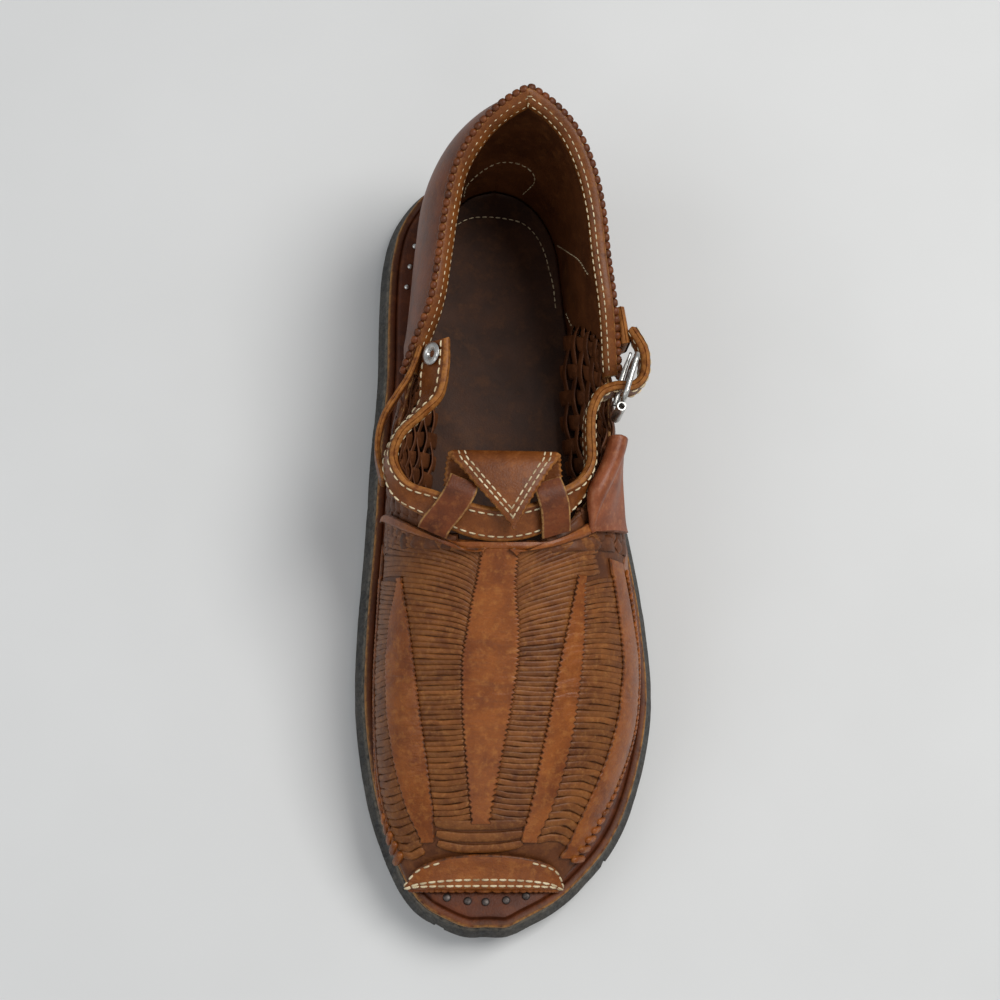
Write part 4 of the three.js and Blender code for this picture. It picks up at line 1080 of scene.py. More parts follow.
@dataclass
class Maker:
    """Runs the trees of nodes on guides and keeps the results as plain meshes."""

    bench: Bench

    def __post_init__(self) -> None:
        """Build the trees and the small forms once."""
        self.strands = strand_tree()
        self.rows = row_tree(True)
        self.spots = row_tree(False)
        self.forms = {name: self.form(name, make) for name, make in (
            ("thread", self.thread), ("bead", self.bead), ("tab", self.tab), ("head", self.head))}

    def form(self, name: str, make: Callable[[], Shape]) -> bpy.types.Object:
        """A small form of length one that the trees copy.

        Args:
            name: Its name.
            make: What gathers it.

        Returns:
            A hidden object.
        """
        shape = make()
        mesh = bpy.data.meshes.new(name)
        mesh.from_pydata(np.concatenate(shape.points).tolist(), [], shape.faces)
        face_out(mesh)
        return bpy.data.objects.new(name, mesh)

    @staticmethod
    def pebble(rings: int, sides: int, square: float, sag: float) -> Shape:
        """A rounded block inside a box of size one.

        Args:
            rings: Rings along X.
            sides: Sides of each ring.
            square: How square it is; 2 is an ellipsoid.
            sag: How far its ends drop.

        Returns:
            The gathered shape.
        """
        power = 2 / square
        lean = np.linspace(-math.pi / 2, math.pi / 2, rings + 2)[1:-1]
        turn = np.linspace(0, 2 * math.pi, sides, endpoint=False)

        def bent(value: Array) -> Array:
            return np.sign(value) * np.abs(value) ** power

        x = bent(np.sin(lean))[:, None] / 2 + 0 * turn[None]
        y = bent(np.cos(lean))[:, None] * bent(np.cos(turn))[None] / 2
        z = bent(np.cos(lean))[:, None] * bent(np.sin(turn))[None] / 2 - sag * (2 * x) ** 2
        shape = Shape()
        shape.loft(np.stack([x, y, z], -1))
        return shape

    def thread(self) -> Shape:
        """One stitch, whose ends dip into the leather."""
        return self.pebble(5, 6, 2.4, 0.42)

    def bead(self) -> Shape:
        """One bead of the counter's rim."""
        return self.pebble(7, 12, 2.5, 0.0)

    def tab(self) -> Shape:
        """One short tab of a whipped edge."""
        return self.pebble(6, 10, 3.2, 0.1)

    def head(self) -> Shape:
        """One nail's head, hammered slightly flat."""
        shape = Shape()
        profile = [(0.05, -0.5), (0.42, -0.5), (0.5, -0.2), (0.46, 0.1), (0.34, 0.36), (0.16, 0.47),
                   (0.04, 0.5)]
        shape.lathe(profile, np.zeros(3), (0, 0, 1), 16)
        return shape

    def run(self, tree: bpy.types.NodeTree, guides: Guides, name: str, scale: float,
            **inputs: object) -> bpy.types.Mesh:
        """Run a tree on guides.

        Args:
            tree: The tree of nodes.
            guides: Its guide lines.
            name: Name of the mesh.
            scale: From the guides' girth to the tree's.
            inputs: The tree's inputs, by name.

        Returns:
            A plain mesh.
        """
        thing = guides.thing(self.bench, name + "_guides", scale)
        modifier = thing.modifiers.new("made", "NODES")
        modifier.node_group = tree
        names = {s.name: s.identifier for s in tree.interface.items_tree if s.in_out == "INPUT"}
        for key, value in inputs.items():
            modifier[names[key]] = value
        bpy.context.view_layer.update()
        seen = thing.evaluated_get(bpy.context.evaluated_depsgraph_get())
        mesh = bpy.data.meshes.new_from_object(seen)
        mesh.name = name
        thing.modifiers.remove(modifier)
        bpy.data.objects.remove(thing)
        face_out(mesh)
        return mesh

    def sweep(self, name: str, guides: Guides, material: bpy.types.Material, slot: str, flatness: float,
              sides: int = 8, nodes: Sequence[str] = ()) -> bpy.types.Object:
        """Sweep strips along guides.

        Args:
            name: The piece's name.
            guides: Its guide lines, with half widths in millimetres.
            material: Its finish.
            slot: The record's slot.
            flatness: The strips' height as a share of their width.
            sides: Sides of the section.
            nodes: The CAD nodes that it stands for.

        Returns:
            The Blender object.
        """
        mesh = self.run(self.strands, guides, name, MILLIMETRE, Flatness=flatness, Sides=sides,
                        Finish=material)
        return self.bench.finish(name, mesh, material, slot, nodes)

    def set(self, name: str, guides: Guides, form: str, size: tuple[float, float, float],
            material: bpy.types.Material, slot: str, pitch: float = 0.0, skew: float = 0.0,
            nodes: Sequence[str] = ()) -> bpy.types.Object:
        """Set copies of a form along guides.

        Args:
            name: The piece's name.
            guides: Its guide lines.
            form: Which form.
            size: Its length, width and height in millimetres.
            material: Its finish.
            slot: The record's slot.
            pitch: Distance between copies, or 0 for one at each guide point.
            skew: Turn about the outward direction, in degrees.
            nodes: The CAD nodes that it stands for.

        Returns:
            The Blender object.
        """
        length, width, height = (part * MILLIMETRE for part in size)
        mesh = self.run(self.rows if pitch else self.spots, guides, name, 1.0, Form=self.forms[form],
                        Pitch=max(pitch, 1.0) * MILLIMETRE, Length=length, Width=width, Height=height,
                        Skew=math.radians(skew), Seed=SEED, Finish=material)
        return self.bench.finish(name, mesh, material, slot, nodes)


# Finishes


def colour(text: str) -> tuple[float, float, float, float]:
    """Linear colour from six hexadecimal digits."""
    parts = [int(text[k:k + 2], 16) / 255 for k in (0, 2, 4)]
    return tuple(p / 12.92 if p <= 0.04045 else ((p + 0.055) / 1.055) ** 2.4 for p in parts) + (1.0,)


def grain_group() -> bpy.types.NodeTree:
    """Leather's colour and grain, shared by every leather.

    Returns:
        A group that gives a colour, a roughness and a height.
    """
    graph, given, result = new_tree("leather grain", "ShaderNodeTree", [
        ("Middle", "Color", (0.2, 0.1, 0.05, 1)), ("Dark", "Color", (0.1, 0.05, 0.02, 1)),
        ("Light", "Color", (0.3, 0.15, 0.08, 1)), ("Tone", "Float", 0.5), ("Mottle", "Float", 90.0),
        ("Pores", "Float", 1500.0), ("Gloss", "Float", 0.45), ("Spread", "Float", 0.14),
    ], [("Color", "Color"), ("Roughness", "Float"), ("Height", "Float")])
    where = graph.place()
    broad = graph.noise(where, given.outputs["Mottle"], 4.0, 0.6, 0.4)
    patch = graph.noise(where, graph.sum("MULTIPLY", given.outputs["Mottle"], 4.3), 3.0, 0.65)
    pores = graph.noise(where, given.outputs["Pores"], 2.0, 0.6)
    dark = graph.mix(graph.ramp(broad, 0.32, 0.62, 1.0, 0.0), given.outputs["Middle"], given.outputs["Dark"])
    light = graph.mix(graph.ramp(patch, 0.5, 0.78, 0.0, 0.7), dark, given.outputs["Light"])
    # Tone scales the colour; the midsole's tones include painted shade in its groove and low on its side.
    shift = graph.ramp(given.outputs["Tone"], 0.0, 1.0, 0.7, 1.35)
    speck = graph.ramp(pores, 0.3, 0.7, 0.9, 1.08)
    toned = graph.add("ShaderNodeVectorMath", {0: light, "Scale": graph.sum("MULTIPLY", shift, speck)},
                      operation="SCALE")
    graph.put(result.inputs["Color"], toned.outputs[0])
    gloss = graph.sum("MULTIPLY_ADD", graph.sum("SUBTRACT", patch, 0.5), given.outputs["Spread"],
                      given.outputs["Gloss"])
    graph.put(result.inputs["Roughness"], graph.sum("MULTIPLY_ADD", pores, 0.08, gloss, clamp=True))
    creases = graph.noise(where, graph.sum("MULTIPLY", given.outputs["Pores"], 0.28), 3.0, 0.6, 1.2)
    graph.put(result.inputs["Height"], graph.sum("MULTIPLY_ADD", creases, 0.8, pores))
    return graph.tree


def wear_group() -> bpy.types.NodeTree:
    """Raw, rubbed edges, shared by leathers and rubber.

    Returns:
        A group that gives a colour and a mask.
    """
    graph, given, result = new_tree("edge wear", "ShaderNodeTree", [
        ("Color", "Color", (0.2, 0.1, 0.05, 1)), ("Raw", "Color", (0.4, 0.25, 0.12, 1)),
        ("Edge", "Float", 0.0), ("Amount", "Float", 1.0),
    ], [("Color", "Color"), ("Mask", "Float")])
    where = graph.place()
    rub = graph.ramp(graph.noise(where, 420.0, 4.0, 0.7), 0.34, 0.6)
    mask = graph.sum("MULTIPLY", graph.sum("MULTIPLY", given.outputs["Edge"], given.outputs["Amount"]), rub,
                     clamp=True)
    graph.put(result.inputs["Color"], graph.mix(mask, given.outputs["Color"], given.outputs["Raw"]))
    graph.put(result.inputs["Mask"], mask)
    return graph.tree


def dust_group() -> bpy.types.NodeTree:
    """Pale dust and scuffs, shared by the sole's finishes.

    Returns:
        A group that gives a colour and a mask.
    """
    graph, given, result = new_tree("dust", "ShaderNodeTree", [
        ("Color", "Color", (0.05, 0.05, 0.05, 1)), ("Dust", "Color", (0.35, 0.32, 0.28, 1)),
        ("Amount", "Float", 0.5),
    ], [("Color", "Color"), ("Mask", "Float")])
    where = graph.place()
    broad = graph.noise(where, 46.0, 5.0, 0.7, 0.6)
    fine = graph.noise(where, 900.0, 3.0, 0.7)
    mask = graph.sum("MULTIPLY", graph.ramp(broad, 0.38, 0.7), graph.ramp(fine, 0.3, 0.66), clamp=True)
    mask = graph.sum("MULTIPLY", mask, given.outputs["Amount"], clamp=True)
    graph.put(result.inputs["Color"], graph.mix(mask, given.outputs["Color"], given.outputs["Dust"]))
    graph.put(result.inputs["Mask"], mask)
    return graph.tree


class Groups:
    """The shader groups, built once."""

    _made: dict[str, bpy.types.NodeTree] = {}

    @classmethod
    def get(cls, name: str) -> bpy.types.NodeTree:
        """A shared group by name."""
        builders = {"grain": grain_group, "wear": wear_group, "dust": dust_group}
        if name not in cls._made:
            cls._made[name] = builders[name]()
        return cls._made[name]


def new_material(name: str) -> tuple[bpy.types.Material, Graph, bpy.types.Node]:
    """Start a material.

    Args:
        name: Its name.

    Returns:
        The material, its graph and its shader.
    """
    material = bpy.data.materials.new(name)
    material.use_nodes = True
    material.node_tree.nodes.clear()
    graph = Graph(material.node_tree)
    shader = graph.add("ShaderNodeBsdfPrincipled")
    graph.add("ShaderNodeOutputMaterial", {"Surface": shader.outputs[0]})
    return material, graph, shader


@dataclass(frozen=True)
class Leather:
    """A leather's finish."""

    name: str
    middle: str
    dark: str
    light: str
    raw: str = "a27a48"
    gloss: float = 0.42
    spread: float = 0.16
    mottle: float = 90.0
    pores: float = 1500.0
    depth: float = 0.00012
    wear: float = 1.0
    # Whether the lower flanks of strips get painted shade.
    painted_flank_shade: bool = False
    creases: float = 0.0
    coat: float = 0.05

    def make(self) -> bpy.types.Material:
        """Build the material.

        Returns:
            A leather with grain, tone, worn edges, painted shade on the flanks of strips where set, and a thin
            waxed coat.
        """
        material, graph, shader = new_material(self.name)
        grain = graph.group("grain", {
            "Middle": colour(self.middle), "Dark": colour(self.dark), "Light": colour(self.light),
            "Tone": graph.attribute("tone"), "Mottle": self.mottle, "Pores": self.pores,
            "Gloss": self.gloss, "Spread": self.spread,
        })
        paint = grain.outputs["Color"]
        if self.painted_flank_shade:
            # Painted shade: the underside and lower flanks of each strip, by the section's height, are mixed
            # towards near black 1d0f07.
            crown = graph.ramp(graph.attribute("crown"), -0.15, 0.6, 0.0, 1.0)
            paint = graph.mix(crown, graph.mix(0.7, paint, colour("1d0f07")), paint)
        wear = graph.group("wear", {
            "Color": paint, "Raw": colour(self.raw), "Edge": graph.attribute("edge"), "Amount": self.wear,
        })
        graph.put(shader.inputs["Base Color"], wear.outputs["Color"])
        rough = graph.sum("MULTIPLY_ADD", wear.outputs["Mask"], 0.3, grain.outputs["Roughness"], clamp=True)
        graph.put(shader.inputs["Roughness"], rough)
        height = grain.outputs["Height"]
        if self.creases:
            where = graph.place()
            squeezed = graph.add("ShaderNodeMapping", {"Vector": where, "Scale": (0.35, 1.0, 0.35)})
            folds = graph.noise(squeezed.outputs[0], 420.0, 3.0, 0.5, 0.8)
            height = graph.sum("MULTIPLY_ADD", graph.ramp(folds, 0.35, 0.6), self.creases, height)
        graph.bump(shader, 0.8, self.depth, height)
        shader.inputs["Coat Weight"].default_value = self.coat
        shader.inputs["Coat Roughness"].default_value = 0.32
        shader.inputs["Specular IOR Level"].default_value = 0.24
        return material


@dataclass(frozen=True)
class Rubber:
    """The worn tyre rubber of the outsole."""

    name: str = "tyre_rubber"
    base: str = "131416"
    grey: str = "3f4244"
    dust: str = "7a746a"
    raw: str = "857c6c"
    rough: float = 0.82

    def make(self) -> bpy.types.Material:
        """Build the material.

        Returns:
            A dark rubber with scuffs, dust and a scored surface.
        """
        material, graph, shader = new_material(self.name)
        where = graph.place()
        flat = graph.add("ShaderNodeMapping", {"Vector": where, "Scale": (1.0, 1.0, 0.16)}).outputs[0]
        scores = graph.noise(flat, 700.0, 4.0, 0.7, 0.3)
        paint = graph.mix(graph.ramp(scores, 0.42, 0.72, 0.0, 0.85), colour(self.base), colour(self.grey))
        dust = graph.group("dust", {"Color": paint, "Dust": colour(self.dust), "Amount": 0.4})
        wear = graph.group("wear", {
            "Color": dust.outputs["Color"], "Raw": colour(self.raw), "Edge": graph.attribute("edge"),
            "Amount": 0.7,
        })
        graph.put(shader.inputs["Base Color"], wear.outputs["Color"])
        graph.put(shader.inputs["Roughness"], graph.sum("MULTIPLY_ADD", scores, 0.15, self.rough, clamp=True))
        pits = graph.noise(where, 1500.0, 3.0, 0.7)
        graph.bump(shader, 0.9, 0.0003, graph.sum("MULTIPLY_ADD", scores, 1.2, pits))
        return material


@dataclass(frozen=True)
class Metal:
    """A plated or blackened metal."""

    name: str
    base: str
    tarnish: str
    rough: float = 0.24
    shine: float = 1.0

    def make(self) -> bpy.types.Material:
        """Build the material.

        Returns:
            A metal with tarnish and fine scratches.
        """
        material, graph, shader = new_material(self.name)
        where = graph.place()
        spots = graph.noise(where, 700.0, 4.0, 0.65)
        paint = graph.mix(graph.ramp(spots, 0.48, 0.72, 0.0, 0.8), colour(self.base), colour(self.tarnish))
        graph.put(shader.inputs["Base Color"], paint)
        shader.inputs["Metallic"].default_value = self.shine
        graph.put(shader.inputs["Roughness"], graph.ramp(spots, 0.3, 0.75, self.rough, self.rough + 0.3))
        scratch = graph.noise(where, 3800.0, 2.0, 0.6)
        graph.bump(shader, 0.4, 0.00005, scratch)
        return material


@dataclass(frozen=True)
class Thread:
    """Waxed sewing thread, gone a little grey."""

    name: str = "waxed_thread"
    base: str = "d9c9a6"
    soiled: str = "8d7350"

    def make(self) -> bpy.types.Material:
        """Build the material.

        Returns:
            A twisted thread's finish.
        """
        material, graph, shader = new_material(self.name)
        where = graph.place()
        soil = graph.noise(where, 160.0, 4.0, 0.6)
        tone = graph.attribute("tone")
        share = graph.sum("MULTIPLY_ADD", tone, 0.5, graph.ramp(soil, 0.4, 0.7, -0.15, 0.6), clamp=True)
        graph.put(shader.inputs["Base Color"], graph.mix(share, colour(self.base), colour(self.soiled)))
        twist = graph.add("ShaderNodeTexWave", {"Vector": where, "Scale": 900.0, "Distortion": 2.0},
                          bands_direction="DIAGONAL")
        graph.bump(shader, 0.6, 0.0001, twist.outputs["Fac"])
        shader.inputs["Roughness"].default_value = 0.7
        return material


@dataclass
class Finishes:
    """Every finish of the shoe."""

    def __post_init__(self) -> None:
        """Build the materials once."""
        self.band = Leather("band_leather", "834718", "65310e", "9b622c", raw="3a1f0d", creases=0.7,
                            depth=0.00014, gloss=0.36, wear=0.9, coat=0.14).make()
        # The strips get painted shade on their lower flanks.
        self.strip = Leather("strip_leather", "74441c", "582e10", "8d5e30", painted_flank_shade=True, mottle=140.0,
                             gloss=0.44, wear=0.3).make()
        self.wall = Leather("wall_leather", "5f351a", "43230f", "78492a", gloss=0.5).make()
        self.counter = Leather("counter_leather", "683212", "4a210a", "7f4a22", gloss=0.42).make()
        self.beads = Leather("bead_leather", "5f2f10", "45200a", "7a471f", gloss=0.44).make()
        self.collar = Leather("collar_leather", "6d3a12", "552a0b", "844e22", raw="96602a", wear=0.9,
                              gloss=0.4).make()
        self.pink = Leather("strap_leather", "84492c", "67341d", "9f6847", raw="6d3f25", gloss=0.36).make()
        self.rim = Leather("rim_leather", "6c3b14", "50290d", "82501f", gloss=0.42).make()
        self.sole = Leather("sole_leather", "54260c", "3a1806", "683514", raw="a0713a", gloss=0.46, spread=0.2,
                            mottle=60.0, coat=0.03).make()
        self.insole = Leather("insole_leather", "402413", "2a160b", "55341c", gloss=0.62, mottle=45.0,
                              raw="6b4a2c").make()
        self.lining = Leather("lining_leather", "63371a", "482510", "794a24", gloss=0.5, mottle=60.0).make()
        self.rubber = Rubber().make()
        self.bright = Metal("bright_metal", "c9c9c6", "77736c").make()
        self.blackened = Metal("dark_metal", "5c5552", "2b2624", rough=0.42).make()
        self.thread = Thread().make()


# Sole


@dataclass
class Outsole:
    """The tyre-rubber outsole, with its lugs and the bites in its toe."""

    flare: float = 3.0
    lug_depth: float = 2.6
    lug_gap: float = 5.0
    lug_pitch: float = 24.0
    toe_bite: float = 4.2
    count: int = 360
    heel_grooves: Sequence[float] = (0.76, 0.86)
    # across, along, radius as a share of the bite, sides
    bites: Sequence[tuple[float, float, float, int]] = ((-0.255, 0.009, 0.5, 20), (0.305, 0.083, 0.8, 3))

    def build(self, bench: Bench, finishes: Finishes) -> None:
        """Make the outsole.

        Args:
            bench: Where pieces are made.
            finishes: The shoe's finishes.
        """
        last = bench.last
        deep = last.outsole
        waist = 0.45 * deep
        rings = [(2.6, 0.0, False), (1.7, 0.02, False), (1.1, 0.45, False), (0.2, 1.6, False)]
        rings += [(0.1, 0.3 * deep, True), (0.0, waist, True)]
        rings += [(self.flare * t, waist + (deep - waist) * t, True) for t in (0.22, 0.45, 0.7, 0.93)]
        rings += [(self.flare + 0.25, deep - 0.05, True), (self.flare + 1.2, deep, True)]
        turn = np.linspace(0, 2 * math.pi, self.count, endpoint=False)
        stack = []
        edge = []
        for index, (margin, z, upper) in enumerate(rings):
            loop = last.outline(margin, self.count)
            along = last.share(loop[:, 1])
            lift = last.rise(along) if upper else last.spring(along) + last.arch(along)
            rough = 0.16 * ripple(turn * 23, SEED + index) if 2 < index < len(rings) - 2 else 0
            middle = loop.mean(0)
            loop = loop + unit(middle - loop) * np.maximum(rough, 0)[:, None] if np.ndim(rough) else loop
            stack.append(np.column_stack([loop, z + lift]))
            edge.append(np.full(self.count, 0.8 if index in (3, 9, 10) else 0.15))
        shape = Shape()
        shape.stack(np.stack(stack), 0.5, np.stack(edge))
        mesh = self.cut(bench, bench.mesh("outsole_whole", shape))
        bench.finish("outsole_rubber", mesh, finishes.rubber, "rubber", ["outsole"])

    def cut(self, bench: Bench, whole: bpy.types.Mesh) -> bpy.types.Mesh:
        """Cut the grooves between the lugs and the bites in the edge.

        Args:
            bench: Where pieces are made.
            whole: The outsole without them.

        Returns:
            The cut mesh.
        """
        last = bench.last
        shape = Shape()
        wide, deep = last.across(0.42), self.lug_depth + 2
        lugs = int(0.36 * last.length // self.lug_pitch)
        for k in range(lugs):
            y = last.lengthwise(0.13) + k * self.lug_pitch
            self.block(shape, (last.across(-0.3), y), (wide, self.lug_gap, deep), 0.3)
            self.block(shape, (last.across(0.22), y), (wide, self.lug_gap, deep), -0.3)
        size = (last.across(0.9), self.lug_gap, deep)
        for along in self.heel_grooves:
            self.block(shape, (last.across(-0.12), last.lengthwise(along)), size, 0)
        middle = last.outsole * 0.2 + last.toe_spring / 2
        reach = last.outsole * 0.55
        for x, along, share, sides in self.bites:
            radius = self.toe_bite * share
            centre = np.array([last.across(x), last.lengthwise(along), middle])
            shape.lathe([(radius, -reach), (radius, reach)], centre, (0, 0, 1), sides)
        cutter = bpy.data.objects.new("sole_cuts", bench.mesh("sole_cuts", shape))
        body = bpy.data.objects.new("sole_block", whole)
        for thing in (body, cutter):
            into_scene(thing)
        modifier = body.modifiers.new("cuts", "BOOLEAN")
        modifier.operation = "DIFFERENCE"
        modifier.solver = "EXACT"
        modifier.use_self = True
        modifier.object = cutter
        seen = body.evaluated_get(bpy.context.evaluated_depsgraph_get())
        mesh = bpy.data.meshes.new_from_object(seen)
        mesh.set_sharp_from_angle(angle=math.radians(40))
        for thing in (body, cutter):
            bpy.data.objects.remove(thing)
        return mesh

    def block(self, shape: Shape, at: tuple[float, float], size: tuple[float, float, float],
              turn: float) -> None:
        """Add one groove's block.

        Args:
            shape: What is gathered.
            at: Its middle, x and y.
            size: Its width, length and height.
            turn: Its turn about Z, in radians.
        """
        x, y, z = (part / 2 for part in size)
        middle = self.lug_depth / 2 - 1
        ring = np.array([(-x, -y), (x, -y), (x, y), (-x, y)])
        spin = np.array([(math.cos(turn), -math.sin(turn)), (math.sin(turn), math.cos(turn))])
        ring = ring @ spin.T + np.array(at)
        shape.loft(np.stack([np.column_stack([ring, np.full(4, middle + h)]) for h in (-z, z)]))


@dataclass
class Midsole:
    """The leather midsole: a raw side, a lighter outer band, a groove and a polished top, with painted shade in
    the groove and low on the side.
    """

    margin: float = 3.4
    band: float = 3.0
    count: int = 360

    def build(self, bench: Bench, finishes: Finishes) -> None:
        """Make the midsole.

        Args:
            bench: Where pieces are made.
            finishes: The shoe's finishes.
        """
        last = bench.last
        base = last.outsole + last.gap
        top = base + last.midsole
        step = self.margin + self.band
        rise = last.midsole_step
        # margin, height, tone, raw edge; the tone is lowest in the groove and towards the foot of the side by the
        # outsole, which is painted shade
        rows = [
            (self.margin + 1.5, base, 0.3, 0.4), (self.margin + 0.2, base, 0.3, 0.6),
            (self.margin, base + 0.3, 0.4, 1.0), (self.margin, base + 2.2, 0.5, 1.0),
            (self.margin + 0.05, top - 1.6, 0.55, 1.0), (self.margin + 0.2, top - 0.7, 0.6, 1.0),
            (self.margin + 0.55, top - 0.15, 0.6, 0.75), (self.margin + 0.95, top, 0.62, 0.15),
            (step - 0.7, top, 0.58, 0.0), (step - 0.25, top - 0.15, 0.3, 0.0), (step, top - 0.5, 0.0, 0.0),
            (step + 0.3, top - 0.1, 0.2, 0.0), (step + 0.7, top + rise * 0.7, 0.5, 0.0),
            (step + 1.6, top + rise, 0.55, 0.0), (step + 4.5, top + rise - 0.12, 0.42, 0.0),
        ]
        turn = np.linspace(0, 2 * math.pi, self.count, endpoint=False)
        stack, tones, edges = [], [], []
        for index, (margin, z, tone, edge) in enumerate(rows):
            loop = last.outline(margin, self.count)
            fray = 0.12 * ripple(turn * 31, SEED + 40 + index) if edge > 0.5 else 0 * turn
            loop = loop + unit(loop.mean(0) - loop) * np.maximum(fray, 0)[:, None]
            stack.append(np.column_stack([loop, z + last.rise(last.share(loop[:, 1]))]))
            tones.append(np.full(self.count, tone))
            edges.append(np.full(self.count, edge))
        shape = Shape()
        shape.stack(np.stack(stack), np.stack(tones), np.stack(edges))
        bench.piece("midsole_leather", shape, finishes.sole, "sole_leather", ["midsole"], sharp=50)


@dataclass
class Insole:
    """The insole, dished a little by wear."""

    thickness: float = 2.2
    inside: float = 3.3
    front: float = 1.8
    rows: int = 150
    columns: int = 44

    def build(self, bench: Bench, finishes: Finishes) -> None:
        """Make the insole.

        Args:
            bench: Where pieces are made.
            finishes: The shoe's finishes.
        """
        last = bench.last
        u = np.linspace(self.front, last.heel - 0.02, self.rows)
        medial = last.at(Side.MEDIAL, u, 0 * u, -self.inside)
        lateral = last.at(Side.LATERAL, u, 0 * u, -self.inside)
        t = np.linspace(0, 1, self.columns)
        t = 0.5 - 0.5 * np.cos(math.pi * t)
        low = medial[:, None] + (lateral - medial)[:, None] * t[None, :, None]
        low[..., 2] = last.floor(last.share(low[..., 1])) + last.foot_gap
        along = last.share(low[..., 1])
        dish = 0.35 * np.sin(math.pi * t)[None] * (0.6 + smooth(0.75, 0.9, along))
        worn = 0.12 * ripple(low[..., 0] / 9 + low[..., 1] / 14, SEED + 3)
        middle = low + np.array([0, 0, self.thickness / 2])
        normals = np.broadcast_to((0.0, 0.0, 1.0), middle.shape)
        middle[..., 2] += (worn - dish - 0.1) * np.sin(math.pi * t)[None] ** 0.5
        shape = Shape()
        shape.strap(middle, normals, self.thickness, 0.5)
        bench.piece("insole_board", shape, finishes.insole, "insole_leather", ["insole"], sharp=50)


# Upper


@dataclass
class UpperWall:
    """The shell that carries the weave: smooth inside, thin behind the plaited sides."""

    outer: float = -0.3
    inner: float = -2.4
    core: float = 0.5
    weave_from: float = 0.5
    weave_to: float = 7.1
    weave_lean: float = 1.7
    stations: int = 300
    lines: int = 40

    def build(self, bench: Bench, finishes: Finishes) -> None:
        """Make the wall.

        Args:
            bench: Where pieces are made.
            finishes: The shoe's finishes.
        """
        last = bench.last
        throat = last.throat
        front = np.linspace(0, throat, int(self.stations * 0.4))
        u = np.concatenate([front, np.linspace(throat, last.heel, int(self.stations * 0.6))[1:]])
        v = np.concatenate([np.linspace(0, 0.94, self.lines), [0.965, 0.98, 0.99, 1.0]])
        u_grid, v_grid = np.meshgrid(u, v, indexing="ij")
        woven = smooth(throat + self.weave_from, throat + self.weave_from + 0.6, u_grid)
        limit = throat + self.weave_to + self.weave_lean * (1 - v_grid)
        woven = woven * (1 - smooth(limit - 0.2, limit + 0.2, u_grid))
        woven = woven * smooth(0.03, 0.09, v_grid) * (1 - smooth(0.92, 0.96, v_grid))
        middle = (self.outer + self.inner) / 2
        round_off = 0.7 * smooth(0.97, 1.0, v_grid) * smooth(throat, throat + 0.4, u_grid)
        outside = self.outer + (middle + self.core / 2 - self.outer) * woven - round_off
        inside = self.inner + (middle - self.core / 2 - self.inner) * woven + round_off
        shape = Shape()
        for side in Side:
            out = last.at(side, u_grid, v_grid, outside)
            lined = last.at(side, u_grid, v_grid, inside)
            shape.grid(out, tone=0.45)
            shape.grid(lined, flip=True, tone=0.4)
            rim = slice(len(front) - 1, None)
            shape.grid(np.stack([out[:, 0], lined[:, 0]]))
            shape.grid(np.stack([out[0], lined[0]]))
            shape.grid(np.stack([out[rim, -1], lined[rim, -1]]), edge=1.0)
        bench.piece("upper_wall", shape, finishes.lining, "woven_leather", ["upper"], sharp=60)


